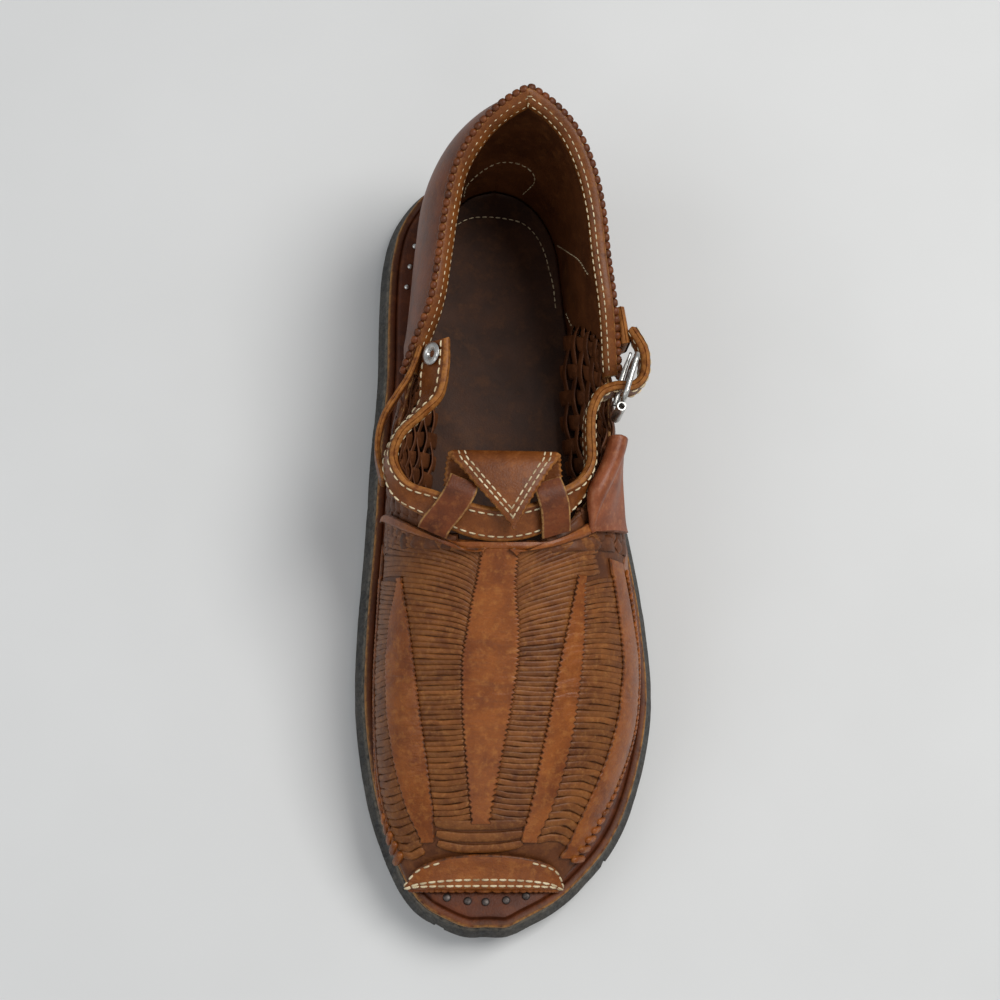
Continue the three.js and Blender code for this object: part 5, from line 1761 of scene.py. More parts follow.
@dataclass
class Panel:
    """A field of narrow strips between two smooth bands of the vamp."""

    side: Side
    inner: Sequence[tuple[float, float]]
    outer: Sequence[tuple[float, float]]
    start: float
    stop: float
    pitch: tuple[float, float]
    slant: float
    bow: float
    seed: int
    tip: float = 1.0
    far: Sequence[tuple[float, float]] = ()
    straight: float = 0.9

    def edge(self, along: Array, t: float) -> Array:
        """Place up the section of a line across the panel.

        Args:
            along: Shares of the length.
            t: 0 at the inner edge, 1 at the outer one.

        Returns:
            Places v.
        """
        inner = np.interp(along, *zip(*self.inner))
        outer = np.interp(along, *zip(*self.outer))
        return inner + (outer - inner) * t

    def stops(self, last: Last) -> Array:
        """Places of the strips at the panel's inner edge, from the throat to the toe."""
        found = [self.stop]
        while found[-1] > self.start:
            t = (self.stop - found[-1]) / (self.stop - self.start)
            found.append(found[-1] - (self.pitch[0] + (self.pitch[1] - self.pitch[0]) * t ** 1.2) / last.length)
        return np.array(found)

    def drift(self, stop: Array, t: Array) -> Array:
        """How far a strip runs up the shoe across the panel, in millimetres.

        Args:
            stop: The strips' places at the inner edge.
            t: Places across the panel.

        Returns:
            Millimetres towards the heel.
        """
        top = smooth(0.285, 0.43, stop)
        toe = 1 - smooth(0.1, 0.26, stop)
        inside = np.clip(t, 0, 1)
        beyond = np.maximum(t - 1, 0)
        level = self.bow * np.sin(math.pi * inside) * (0.35 + toe) - 1.1 * toe * inside
        return self.slant * top * (inside ** self.straight + 0.5 * beyond) + level

    def guides(self, last: Last, guides: Guides) -> None:
        """Add a guide for each strip.

        Args:
            last: The last.
            guides: What is gathered.
        """
        random = np.random.default_rng(self.seed)
        stops = self.stops(last)
        for k, stop in enumerate(stops[1:-1], 1):
            girth = (stops[k - 1] - stops[k + 1]) * last.length / 4
            crosses = stop + self.drift(stop, np.float64(1)) / last.length > self.tip
            end = self.reach(last, stop) if crosses else 1.0
            share = np.linspace(-0.015, 1.015, 25 if crosses else 17)
            t = np.sign(share) * np.abs(share) ** (1.4 if crosses else 1.0) * end
            wander = 0.22 * girth * ripple(np.clip(t, 0, end) * 5 + k * 0.15, self.seed + k % 7, 3)
            along = stop + (self.drift(stop, np.clip(t, 0, end)) + wander) / last.length
            u = last.place(along)
            v = self.edge(along, 0) + (self.edge(along, 1) - self.edge(along, 0)) * t
            tuck = np.minimum(smooth(-0.015, 0.05, share), 1 - smooth(0.95, 1.015, share))
            lift = -0.5 + 0.42 * tuck + random.normal(0, 0.04)
            points = last.at(self.side, u, v, lift)
            ups = last.normal(self.side, u, v)
            fan = 1 + self.fan(stops, k, last) * np.clip(t, 0, 1)
            width = girth * fan * random.uniform(1.08, 1.22) * (0.62 + 0.38 * tuck)
            guides.add(points, ups, width, float(np.clip(random.normal(0.5, 0.16), 0, 1)))

    def fan(self, stops: Array, k: int, last: Last) -> float:
        """How much wider a strip is at its outer end.

        Args:
            stops: The strips' places at the inner edge.
            k: Which strip.
            last: The last.

        Returns:
            The extra share of its width.
        """
        ends = stops + self.drift(stops, np.ones(len(stops))) / last.length
        return float((ends[k - 1] - ends[k + 1]) / (stops[k - 1] - stops[k + 1]) - 1)

    def reach(self, last: Last, stop: float) -> float:
        """How far a strip runs past the panel where no band stops it.

        Args:
            last: The last.
            stop: The strip's place at the inner edge.

        Returns:
            The place across at its outer end.
        """
        t = np.linspace(1, 4, 200)
        along = stop + self.drift(stop, t) / last.length
        v = self.edge(along, 0) + (self.edge(along, 1) - self.edge(along, 0)) * t
        stopped = v <= np.interp(along, *zip(*self.far))
        return float(t[np.argmax(stopped)]) if stopped.any() else 1.0


@dataclass
class Vamp:
    """The woven vamp: smooth bands with toothed edges and the panels of strips between them."""

    band_thickness: float = 1.3
    band_lift: float = 0.2
    tooth: float = 0.013
    # along, v of the centre band's edges, then of each side's bands; all from the foot line up
    centre_medial: Sequence[tuple[float, float]] = (
        (0.13, 0.965), (0.2, 0.934), (0.258, 0.909), (0.315, 0.9), (0.357, 0.917), (0.402, 0.934), (0.5, 0.94))
    centre_lateral: Sequence[tuple[float, float]] = (
        (0.13, 0.98), (0.2, 0.946), (0.258, 0.921), (0.315, 0.905), (0.357, 0.909), (0.402, 0.936), (0.5, 0.955))
    medial_inner: Sequence[tuple[float, float]] = (
        (0.1, 0.69), (0.147, 0.73), (0.203, 0.707), (0.258, 0.668), (0.314, 0.625), (0.361, 0.571),
        (0.409, 0.49), (0.48, 0.4))
    medial_outer: Sequence[tuple[float, float]] = (
        (0.1, 0.6), (0.118, 0.6), (0.147, 0.533), (0.204, 0.459), (0.262, 0.405), (0.32, 0.39), (0.365, 0.405),
        (0.41, 0.46), (0.48, 0.39))
    lateral_inner: Sequence[tuple[float, float]] = (
        (0.1, 0.8), (0.121, 0.807), (0.147, 0.792), (0.203, 0.784), (0.259, 0.764), (0.315, 0.741), (0.358, 0.71),
        (0.404, 0.677), (0.456, 0.66), (0.477, 0.726), (0.495, 0.79))
    lateral_outer: Sequence[tuple[float, float]] = (
        (0.1, 0.74), (0.121, 0.72), (0.147, 0.687), (0.204, 0.668), (0.259, 0.66), (0.315, 0.649), (0.359, 0.641),
        (0.405, 0.645), (0.48, 0.64))
    side_top: Sequence[tuple[float, float]] = (
        (0.08, 0.5), (0.101, 0.467), (0.147, 0.45), (0.206, 0.417), (0.263, 0.396), (0.32, 0.386), (0.365, 0.409),
        (0.433, 0.463), (0.5, 0.5))
    side_foot: Sequence[tuple[float, float]] = (
        (0.08, 0.27), (0.1, 0.235), (0.148, 0.18), (0.21, 0.15), (0.267, 0.15), (0.327, 0.17), (0.37, 0.25),
        (0.433, 0.34), (0.5, 0.38))
    medial_foot: Sequence[tuple[float, float]] = (
        (0.08, 0.33), (0.1, 0.3), (0.136, 0.22), (0.2, 0.16), (0.3, 0.13), (0.4, 0.14), (0.5, 0.16))
    # place u and v of the upper edge of the plain leather, from its inner corner out
    cap_medial: Sequence[tuple[float, float]] = (
        (7.98, 0.948), (8.6, 0.95), (9.3, 0.93), (9.85, 0.84), (10.2, 0.68), (10.4, 0.5), (10.36, 0.36),
        (10.15, 0.26))
    cap_lateral: Sequence[tuple[float, float]] = (
        (7.98, 0.975), (8.6, 0.972), (9.2, 0.955), (9.75, 0.925), (10.15, 0.885), (10.3, 0.845), (10.1, 0.79),
        (9.8, 0.76))

    def panels(self) -> list[Panel]:
        """The four panels of strips, from the medial side to the lateral one."""
        fine, wide = (1.22, 1.95), (1.4, 2.75)
        return [
            Panel(Side.MEDIAL, self.centre_medial, self.medial_inner, 0.137, 0.4325, fine, 13.0, -0.6, 11,
                  0.4145, ((0.4, 0.22), (0.45, 0.19), (0.48, 0.2), (0.495, 0.33)), 0.5),
            Panel(Side.MEDIAL, self.medial_outer, self.medial_foot, 0.1, 0.412, wide, 5.0, -1.0, 12),
            Panel(Side.LATERAL, self.centre_lateral, self.lateral_inner, 0.137, 0.4325, fine, 11.5, -0.6, 13,
                  0.41, ((0.4, 0.5), (0.408, 0.53), (0.448, 0.6), (0.477, 0.72), (0.495, 0.78)), 0.72),
            Panel(Side.LATERAL, self.lateral_outer, self.side_top, 0.106, 0.408, wide, 4.0, 1.2, 14),
        ]

    def build(self, bench: Bench, maker: Maker, finishes: Finishes) -> None:
        """Make the vamp's pieces.

        Args:
            bench: Where pieces are made.
            maker: What runs the trees.
            finishes: The shoe's finishes.
        """
        last = bench.last
        panels = self.panels()
        for panel, name in zip(panels, ("inner_medial", "outer_medial", "inner_lateral", "outer_lateral")):
            guides = Guides()
            panel.guides(last, guides)
            maker.sweep(f"strips_{name}", guides, finishes.strip, "woven_leather", 0.42, 10)
        self.bands(bench, finishes, panels)
        self.caps(bench, finishes)
        self.pleats(bench, maker, finishes)
        self.whipping(bench, maker, finishes)

    def teeth(self, last: Last, panel: Panel, along: Array, t: float) -> Array:
        """Teeth of a band's edge, one to each strip of the panel beside it.

        Args:
            last: The last.
            panel: The panel beside the edge.
            along: Places of the edge.
            t: 0 where the edge is the panel's inner one, 1 where it is the outer.

        Returns:
            Shares of a section, from 0 in a notch to the tooth's height.
        """
        stops = panel.stops(last)
        drawn = stops + panel.drift(stops, np.full(len(stops), t)) / last.length
        phase = np.interp(along, drawn[::-1], np.arange(len(stops))[::-1])
        return self.tooth * np.abs(2 * (phase - np.floor(phase)) - 1)

    def bands(self, bench: Bench, finishes: Finishes, panels: list[Panel]) -> None:
        """Make the smooth bands.

        Args:
            bench: Where pieces are made.
            finishes: The shoe's finishes.
            panels: The panels between them.
        """
        last = bench.last
        inner_medial, outer_medial, inner_lateral, outer_lateral = panels

        def read(table: Sequence[tuple[float, float]], along: Array) -> Array:
            return np.interp(along, *zip(*table))

        along = np.linspace(0.132, 0.46, 620)
        left = -(1 - read(self.centre_medial, along) + self.teeth(last, inner_medial, along, 0))
        right = 1 - read(self.centre_lateral, along) + self.teeth(last, inner_lateral, along, 0)
        self.band(bench, finishes, "band_centre", along, left, right)
        along = np.linspace(0.112, 0.415, 620)
        left = -(1 - read(self.medial_outer, along) + self.teeth(last, outer_medial, along, 0))
        right = -(1 - read(self.medial_inner, along) - self.teeth(last, inner_medial, along, 1))
        self.band(bench, finishes, "band_medial", along, left, right)
        left = 1 - read(self.lateral_inner, along) - self.teeth(last, inner_lateral, along, 1)
        right = 1 - read(self.lateral_outer, along) + self.teeth(last, outer_lateral, along, 0)
        self.band(bench, finishes, "band_lateral", along, left, right)
        along = np.linspace(0.094, 0.44, 620)
        left = 1 - read(self.side_top, along) - self.teeth(last, outer_lateral, along, 1)
        right = 1 - read(self.side_foot, along)
        self.band(bench, finishes, "band_side", along, left, right)
        along = np.linspace(0.094, 0.46, 620)
        left = np.full(len(along), -0.985)
        right = -(1 - read(self.medial_foot, along) - self.teeth(last, outer_medial, along, 1))
        self.band(bench, finishes, "band_foot_medial", along, left, right)
        right = np.full(len(along), 0.985)
        left = 1 - read(self.side_foot, along) + 0.03
        self.band(bench, finishes, "band_foot_lateral", along, left, right, -0.55)

    def band(self, bench: Bench, finishes: Finishes, name: str, along: Array, left: Array, right: Array,
             lift: float | None = None) -> None:
        """Make one smooth band.

        Args:
            bench: Where pieces are made.
            finishes: The shoe's finishes.
            name: The piece's name.
            along: Places along the shoe.
            left: Places across of its medial edge.
            right: Places across of its lateral edge.
            lift: Distance of its middle surface from the last, or the usual one.
        """
        last = bench.last
        u = last.place(along)
        t = np.linspace(0, 1, 11)
        across = left[:, None] + (right - left)[:, None] * t[None]
        u_grid = np.broadcast_to(u[:, None], across.shape)
        place = np.broadcast_to(along[:, None], across.shape)
        bend = np.exp(-((place - 0.3) / 0.055) ** 2)
        slant = place * last.length + 6 * across * np.sin(place * 90)
        trough = -0.16 * bend * ripple(slant * 0.9 + 1.3 * ripple(across * 12, SEED + 21), SEED + 20)
        middle = self.band_lift if lift is None else lift
        points = last.over(u_grid, across, middle + trough)
        normals = last.normal_over(u_grid, across)
        shape = Shape()
        shape.strap(points, normals, self.band_thickness, 0.5)
        bench.piece(name, shape, finishes.band, "saddle_leather", sharp=70)

    def caps(self, bench: Bench, finishes: Finishes) -> None:
        """Make the plain leather above each inner panel, with its pointed inner corner.

        Args:
            bench: Where pieces are made.
            finishes: The shoe's finishes.
        """
        last = bench.last
        inner_medial, _, inner_lateral, _ = self.panels()
        for panel, upper, name in ((inner_medial, self.cap_medial, "medial"),
                                   (inner_lateral, self.cap_lateral, "lateral")):
            end = panel.reach(last, panel.stop)
            t = np.linspace(0, 1, 70) ** 1.4 * end
            along = panel.stop + (panel.drift(panel.stop, t) - 0.6) / last.length
            low_u = last.place(along)
            low_v = panel.edge(along, 0) + (panel.edge(along, 1) - panel.edge(along, 0)) * t
            high = spline(np.array(upper), 70)
            w = np.linspace(0, 1, 11)[None]
            u = low_u[:, None] + (high[:, 0] - low_u)[:, None] * w
            v = low_v[:, None] + (high[:, 1] - low_v)[:, None] * w
            points = last.at(panel.side, u, v, 0.75 + 0.85 * smooth(0, 0.35, w))
            shape = Shape()
            shape.strap(points, last.normal(panel.side, u, v), 1.5, 0.5)
            bench.piece(f"panel_cap_{name}", shape, finishes.band, "saddle_leather", sharp=70)

    def pleats(self, bench: Bench, maker: Maker, finishes: Finishes) -> None:
        """Make the three wide pleats before the centre band.

        Args:
            bench: Where pieces are made.
            maker: What runs the trees.
            finishes: The shoe's finishes.
        """
        last = bench.last
        guides = Guides()
        c = np.linspace(-0.265, 0.195, 31)
        middle = (c - c.mean()) / (c[-1] - c.mean())
        for k, (along, girth) in enumerate(((0.1335, 2.0), (0.1215, 1.9), (0.1105, 1.8))):
            bowed = along - (1.0 + 0.6 * k) * (1 - middle ** 2) / last.length
            u = last.place(bowed)
            ends = 1 - 0.4 * np.abs(middle) ** 6
            guides.add(last.over(u, c, -0.1), last.normal_over(u, c), girth * ends, 0.38 + 0.12 * k)
        maker.sweep("toe_pleats", guides, finishes.strip, "woven_leather", 0.4, 12)

    def whipping(self, bench: Bench, maker: Maker, finishes: Finishes) -> None:
        """Make the slanted tabs of the whipped edge over the sole.

        Args:
            bench: Where pieces are made.
            maker: What runs the trees.
            finishes: The shoe's finishes.
        """
        last = bench.last
        guides = Guides()
        for side, foot in ((Side.LATERAL, self.side_foot), (Side.MEDIAL, self.medial_foot)):
            place = 0.43
            found = []
            while place > 0.09:
                found.append(place)
                place -= (1.75 + 1.7 * smooth(0.24, 0.1, place)) / last.length
            along = np.array(found)
            u = last.place(along)
            v = np.interp(along, *zip(*foot)) - (0.04 if side is Side.LATERAL else 0.09)
            girth = 0.8 + 0.75 * smooth(0.24, 0.1, along)
            guides.add(last.at(side, u, v, 0.75), last.normal(side, u, v), girth)
        maker.set("whipped_edge", guides, "tab", (1.8, 4.6, 1.6), finishes.band, "saddle_leather", skew=24)


@dataclass
class Quarters:
    """The plaited sides, flat ribbons over and under each other."""

    first: float = 0.7
    final: float = 7.1
    lean: float = 1.7
    uprights: int = 12
    levels: int = 8
    swing: float = 0.62
    middle: float = -0.75
    lining: float = -2.6
    half_width: float = 2.95
    slope: float = 13.0

    def place(self, index: Array, v: Array) -> Array:
        """Place of an upright, behind the throat, with the weave's slanted rear edge."""
        return self.first + (self.final + self.lean * (1 - v) - self.first) * (index + 0.5) / self.uprights

    def build(self, bench: Bench, maker: Maker, finishes: Finishes) -> None:
        """Make the weave on both sides.

        Args:
            bench: Where pieces are made.
            maker: What runs the trees.
            finishes: The shoe's finishes.
        """
        random = np.random.default_rng(SEED + 60)
        for side in Side:
            name = side.name.lower()
            outside, inside = Guides(), Guides()
            self.plait(bench.last, side, outside, random, 1)
            self.plait(bench.last, side, inside, random, -1)
            maker.sweep(f"plaited_side_{name}", outside, finishes.wall, "woven_leather", 0.19, 10)
            maker.sweep(f"plaited_lining_{name}", inside, finishes.wall, "woven_leather", 0.19, 10)

    def offset(self, face: int, index: Array, v: Array) -> Array:
        """Distance of the weave's middle from the last.

        Args:
            face: 1 for the outside, -1 for the inside, which slopes in to the insole.
            index: Places along the weave.
            v: Places up the section.

        Returns:
            Distances out from the last.
        """
        if face > 0:
            return self.middle + 0 * v
        waist = np.sin(math.pi * np.clip((index + 0.5) / self.uprights, 0, 1)) ** 0.7
        return self.lining - self.slope * waist * (1 - np.clip(v, 0, 1)) ** 1.7

    def plait(self, last: Last, side: Side, guides: Guides, random: np.random.Generator, face: int) -> None:
        """Add the ribbons of one face.

        Args:
            last: The last.
            side: Which side.
            guides: What is gathered.
            random: The tones' fixed draw.
            face: 1 for the outside, -1 for the inside.
        """
        for j in range(self.levels):
            v = 0.05 + 0.89 * (j + 0.5) / self.levels
            index = np.linspace(-0.5, self.uprights - 0.5, self.uprights * 10)
            wave = np.cos(math.pi * index) * (1 if j % 2 else -1)
            self.ribbon(last, side, guides, (index, 0 * index + v), wave, face, random.uniform(0.3, 0.75))
        for i in range(self.uprights):
            index = np.linspace(-0.5, self.levels - 0.5, self.levels * 9)
            v = 0.05 + 0.89 * (index + 0.5) / self.levels
            wave = np.cos(math.pi * i) * np.cos(math.pi * index)
            self.ribbon(last, side, guides, (i + 0 * v, v), wave, face, random.uniform(0.3, 0.75))

    def ribbon(self, last: Last, side: Side, guides: Guides, line: tuple[Array, Array], wave: Array, face: int,
               tone: float) -> None:
        """Add one ribbon.

        Args:
            last: The last.
            side: Which side.
            guides: What is gathered.
            line: Its places along the weave and up the section.
            wave: Where it passes over, 1, and under, -1.
            face: 1 for the outside, -1 for the inside.
            tone: Its tone.
        """
        index, v = line
        u = last.throat + self.place(index, v)
        out = self.offset(face, index, v) + self.swing * wave
        points = last.at(side, u, v, out)
        floor = last.floor(last.share(points[:, 1])) + 3.2
        points[:, 2] = np.maximum(points[:, 2], floor)
        guides.add(points, last.normal(side, u, v), self.half_width, tone)


@dataclass
class HeelCounter:
    """The tall counter, its beaded rim and the leather folded over both."""

    gap: float = 0.7
    thickness: float = 2.0
    rim: float = 2.0
    wing: float = 6.6
    lean: float = 1.6
    bead_pitch: float = 2.8
    # offset, height over the top and tilt of each row of stitches
    seams: Sequence[tuple[float, float, float]] = ((-1.25, 2.85, 0.3), (-3.0, 1.2, 1.4))

    def path(self, last: Last, v: float, offset: float, count: int, up: float = 0.0,
             start: float | None = None) -> tuple[Array, Array]:
        """A line round the heel, from the medial wing to the lateral one.

        Args:
            last: The last.
            v: Its place up the section.
            offset: Distance from the last.
            count: Points on each side.
            up: Distance above the surface's top.
            start: Where it starts on the last, or at the wing's slanted edge.

        Returns:
            Points and outward normals.
        """
        begin = last.throat + self.wing + self.lean * (1 - v) if start is None else start
        u = np.linspace(begin, last.heel, count)
        lines = []
        for side in Side:
            points = last.at(side, u, 0 * u + v, offset) + np.array([0, 0, up])
            lines.append((points, last.normal(side, u, 0 * u + v)))
        points = np.concatenate([lines[0][0], lines[1][0][-2::-1]])
        normals = np.concatenate([lines[0][1], lines[1][1][-2::-1]])
        return points, normals

    def build(self, bench: Bench, maker: Maker, finishes: Finishes) -> None:
        """Make the counter.

        Args:
            bench: Where pieces are made.
            maker: What runs the trees.
            finishes: The shoe's finishes.
        """
        last = bench.last
        middle = self.gap + self.thickness / 2
        rows, normals = [], []
        for v in np.concatenate([np.linspace(0, 0.95, 22), [0.985, 1.0]]):
            points, out = self.path(last, v, middle, 130)
            rows.append(points)
            normals.append(out)
        rows.append(rows[-1] + np.array([0, 0, self.rim]))
        normals.append(normals[-1])
        grid = np.stack(rows, 1)
        shape = Shape()
        shape.strap(grid, np.stack(normals, 1), self.thickness, 0.5)
        bench.piece("counter_shell", shape, finishes.counter, "tooled_leather", ["heel_counter"], sharp=70)
        self.edge(bench, maker, finishes)

    def edge(self, bench: Bench, maker: Maker, finishes: Finishes) -> None:
        """Make the folded rim and its beads.

        Args:
            bench: Where pieces are made.
            maker: What runs the trees.
            finishes: The shoe's finishes.
        """
        last = bench.last
        shape = Shape()
        lines = []
        for offset, up in ((-2.75, -1.0), (-2.6, 0.6), (-2.1, 1.7), (-1.0, 2.35), (0.6, 2.5), (1.8, 2.2)):
            lines.append(self.path(last, 1.0, offset, 150, up)[0])
        grid = np.stack(lines, 1)
        centre = grid.mean((0, 1)) - np.array([0, 0, 40])
        normals = grid_normals(grid, unit(centre - grid) * np.array([0.6, 0.6, -1]))
        shape.strap(grid, normals, 1.0, 0.6)
        bench.piece("counter_rim", shape, finishes.rim, "tooled_leather", sharp=70)
        guides = Guides()
        points, out = self.path(last, 1.0, 2.35, 150, 1.5)
        guides.add(points, np.broadcast_to((0.0, 0.0, 1.0), out.shape))
        maker.set("counter_beads", guides, "bead", (2.95, 2.7, 2.8), finishes.beads, "tooled_leather",
                  pitch=self.bead_pitch)


# Collar, flap and straps


@dataclass
class Collar:
    """The collar band round the throat, from the eyelet to the buckle."""

    thickness: float = 3.2
    count: int = 420
    # x and y of the lower edge, its height, x and y of the upper edge, its height
    rows: Array = field(default_factory=lambda: np.array([
        (-0.33, 0.69, 0.93, -0.262, 0.69, 1.06), (-0.348, 0.655, 0.865, -0.264, 0.652, 1.06),
        (-0.348, 0.622, 0.81, -0.284, 0.62, 1.04), (-0.375, 0.602, 0.81, -0.34, 0.598, 1.04),
        (-0.424, 0.575, 0.84, -0.41, 0.572, 1.045), (-0.452, 0.54, 0.88, -0.43, 0.543, 1.05),
        (-0.425, 0.5, 0.94, -0.385, 0.5145, 1.06), (-0.33, 0.475, 0.985, -0.3, 0.503, 1.07),
        (-0.19, 0.4515, 1.0, -0.2, 0.49, 1.08), (-0.1, 0.447, 1.0, -0.1, 0.484, 1.08),
        (-0.01, 0.4515, 1.0, 0.0, 0.49, 1.08), (0.075, 0.467, 0.985, 0.092, 0.508, 1.07),
        (0.15, 0.499, 0.94, 0.16, 0.524, 1.06), (0.19, 0.535, 0.87, 0.19, 0.545, 1.05),
        (0.19, 0.575, 0.85, 0.19, 0.578, 1.06), (0.195, 0.605, 0.85, 0.195, 0.605, 1.06),
        (0.225, 0.628, 0.86, 0.225, 0.628, 1.06), (0.275, 0.636, 0.87, 0.275, 0.636, 1.06),
        (0.33, 0.637, 0.87, 0.33, 0.637, 1.06), (0.362, 0.65, 0.87, 0.362, 0.65, 1.06),
        (0.366, 0.68, 0.88, 0.366, 0.68, 1.05), (0.328, 0.712, 0.92, 0.328, 0.712, 1.01),
    ]))

    @staticmethod
    def point(last: Last, x: Array, y: Array, height: Array) -> Array:
        """Points from shares of the width, of the length and of the instep's height."""
        level = last.floor(np.float64(0.4)) + last.instep * np.asarray(height)
        return np.stack([last.across(np.asarray(x)), last.lengthwise(np.asarray(y)), level], -1)

    def edges(self, last: Last) -> tuple[Array, Array]:
        """The band's lower and upper edge."""
        low = self.point(last, self.rows[:, 0], self.rows[:, 1], self.rows[:, 2])
        high = self.point(last, self.rows[:, 3], self.rows[:, 4], self.rows[:, 5])
        return spline(low, self.count), spline(high, self.count)

    def build(self, bench: Bench, finishes: Finishes) -> None:
        """Make the band.

        Args:
            bench: Where pieces are made.
            finishes: The shoe's finishes.
        """
        low, high = self.edges(bench.last)
        t = np.linspace(0, 1, 11)
        grid = low[:, None] + (high - low)[:, None] * t[None, :, None]
        normals = self.normals(low, high)
        swell = 0.22 * np.sin(math.pi * t)[None, :, None]
        grid = grid + normals[:, None] * swell
        shape = Shape()
        shape.strap(grid, np.broadcast_to(normals[:, None], grid.shape), self.thickness, 0.55, plies=True)
        bench.piece("collar_leather", shape, finishes.collar, "saddle_leather", ["collar_band"], sharp=70)

    def normals(self, low: Array, high: Array) -> Array:
        """Normals of the band, away from the foot.

        Args:
            low: Its lower edge.
            high: Its upper edge.

        Returns:
            One normal for each station.
        """
        run = np.gradient(low + high, axis=0)
        return -unit(np.cross(run, high - low))

    def seam(self, last: Last, share: float, face: Face) -> tuple[Array, Array]:
        """A line of sewing on the band.

        Args:
            last: The last.
            share: Its place from the lower edge, 0, to the upper one, 1.
            face: Which face.

        Returns:
            Points and outward normals.
        """
        low, high = self.edges(last)
        normals = self.normals(low, high) * face.value
        points = low + (high - low) * share + normals * (self.thickness / 2 + 0.12)
        return points[4:-4], normals[4:-4]


@dataclass
class Flap:
    """The tongue flap, folded over behind the collar with its point lying on the band."""

    half: float = 0.19
    middle: float = -0.088
    thickness: float = 2.2
    stations: int = 150
    # y as a share of the length, z above the instep
    path: Sequence[tuple[float, float]] = (
        (0.512, 0.4), (0.54, 4.2), (0.545, 7.4), (0.536, 10.0), (0.51, 10.4), (0.483, 9.3), (0.4555, 7.4))
    lean: Sequence[float] = (0.0, 0.0, 0.0, 0.0, 0.7, 1.9, 3.2)

    def line(self, last: Last) -> tuple[Array, Array, Array]:
        """The flap's middle line, its outward normals and its half width at each station."""
        level = last.floor(np.float64(0.4)) + last.instep
        stops = np.array([(last.across(self.middle) + lean, last.lengthwise(y), level + z)
                          for (y, z), lean in zip(self.path, self.lean)])
        points = spline(stops, self.stations)
        run = unit(np.gradient(points, axis=0))
        normals = unit(np.stack([0 * run[:, 0], run[:, 2], -run[:, 1]], -1))
        k = np.linspace(0, len(self.path) - 1, self.stations)
        width = np.where(k < 3, 1 - 0.04 * k, np.maximum(0.05, 0.88 * (1 - (k - 3) / 3)))
        return points, normals, last.across(self.half) * width

    def build(self, bench: Bench, finishes: Finishes) -> None:
        """Make the flap with its pinked edge.

        Args:
            bench: Where pieces are made.
            finishes: The shoe's finishes.
        """
        points, normals, half = self.line(bench.last)
        run = np.concatenate([[0], np.cumsum(np.linalg.norm(np.diff(points, axis=0), axis=1))])
        pinked = half - 0.55 * np.abs(np.sin(math.pi * (run * 1.25) / 2.4)) ** 0.7
        s = np.linspace(-1, 1, 17)
        grid = points[:, None] + np.array([1.0, 0, 0]) * pinked[:, None, None] * s[None, :, None]
        droop = -1.0 * (np.abs(s)[None] ** 2.5) * smooth(0.25, 0.5, np.linspace(0, 1, len(points)))[:, None]
        grid[..., 2] += droop * (half / half[0])[:, None]
        shape = Shape()
        shape.strap(grid, np.broadcast_to(normals[:, None], grid.shape), self.thickness, 0.5)
        bench.piece("tongue_leather", shape, finishes.collar, "saddle_leather", ["tongue_flap"], sharp=70)

    def seam(self, last: Last, side: Side, inset: float) -> tuple[Array, Array]:
        """One arm of the sewn V.

        Args:
            last: The last.
            side: Which arm.
            inset: Distance in from the flap's edge.

        Returns:
            Points and outward normals.
        """
        points, normals, half = self.line(last)
        keep = slice(int(self.stations * 0.42), self.stations)
        reach = half[keep] - inset
        inside = reach > 0.3
        arm = points[keep][inside] + np.array([1.0, 0, 0]) * (side.value * reach[inside])[:, None]
        droop = -1.0 * (reach[inside] / half[keep][inside]) ** 2.5 * half[keep][inside] / half[0]
        arm[:, 2] += droop
        return arm + normals[keep][inside] * (self.thickness / 2 + 0.1), normals[keep][inside]


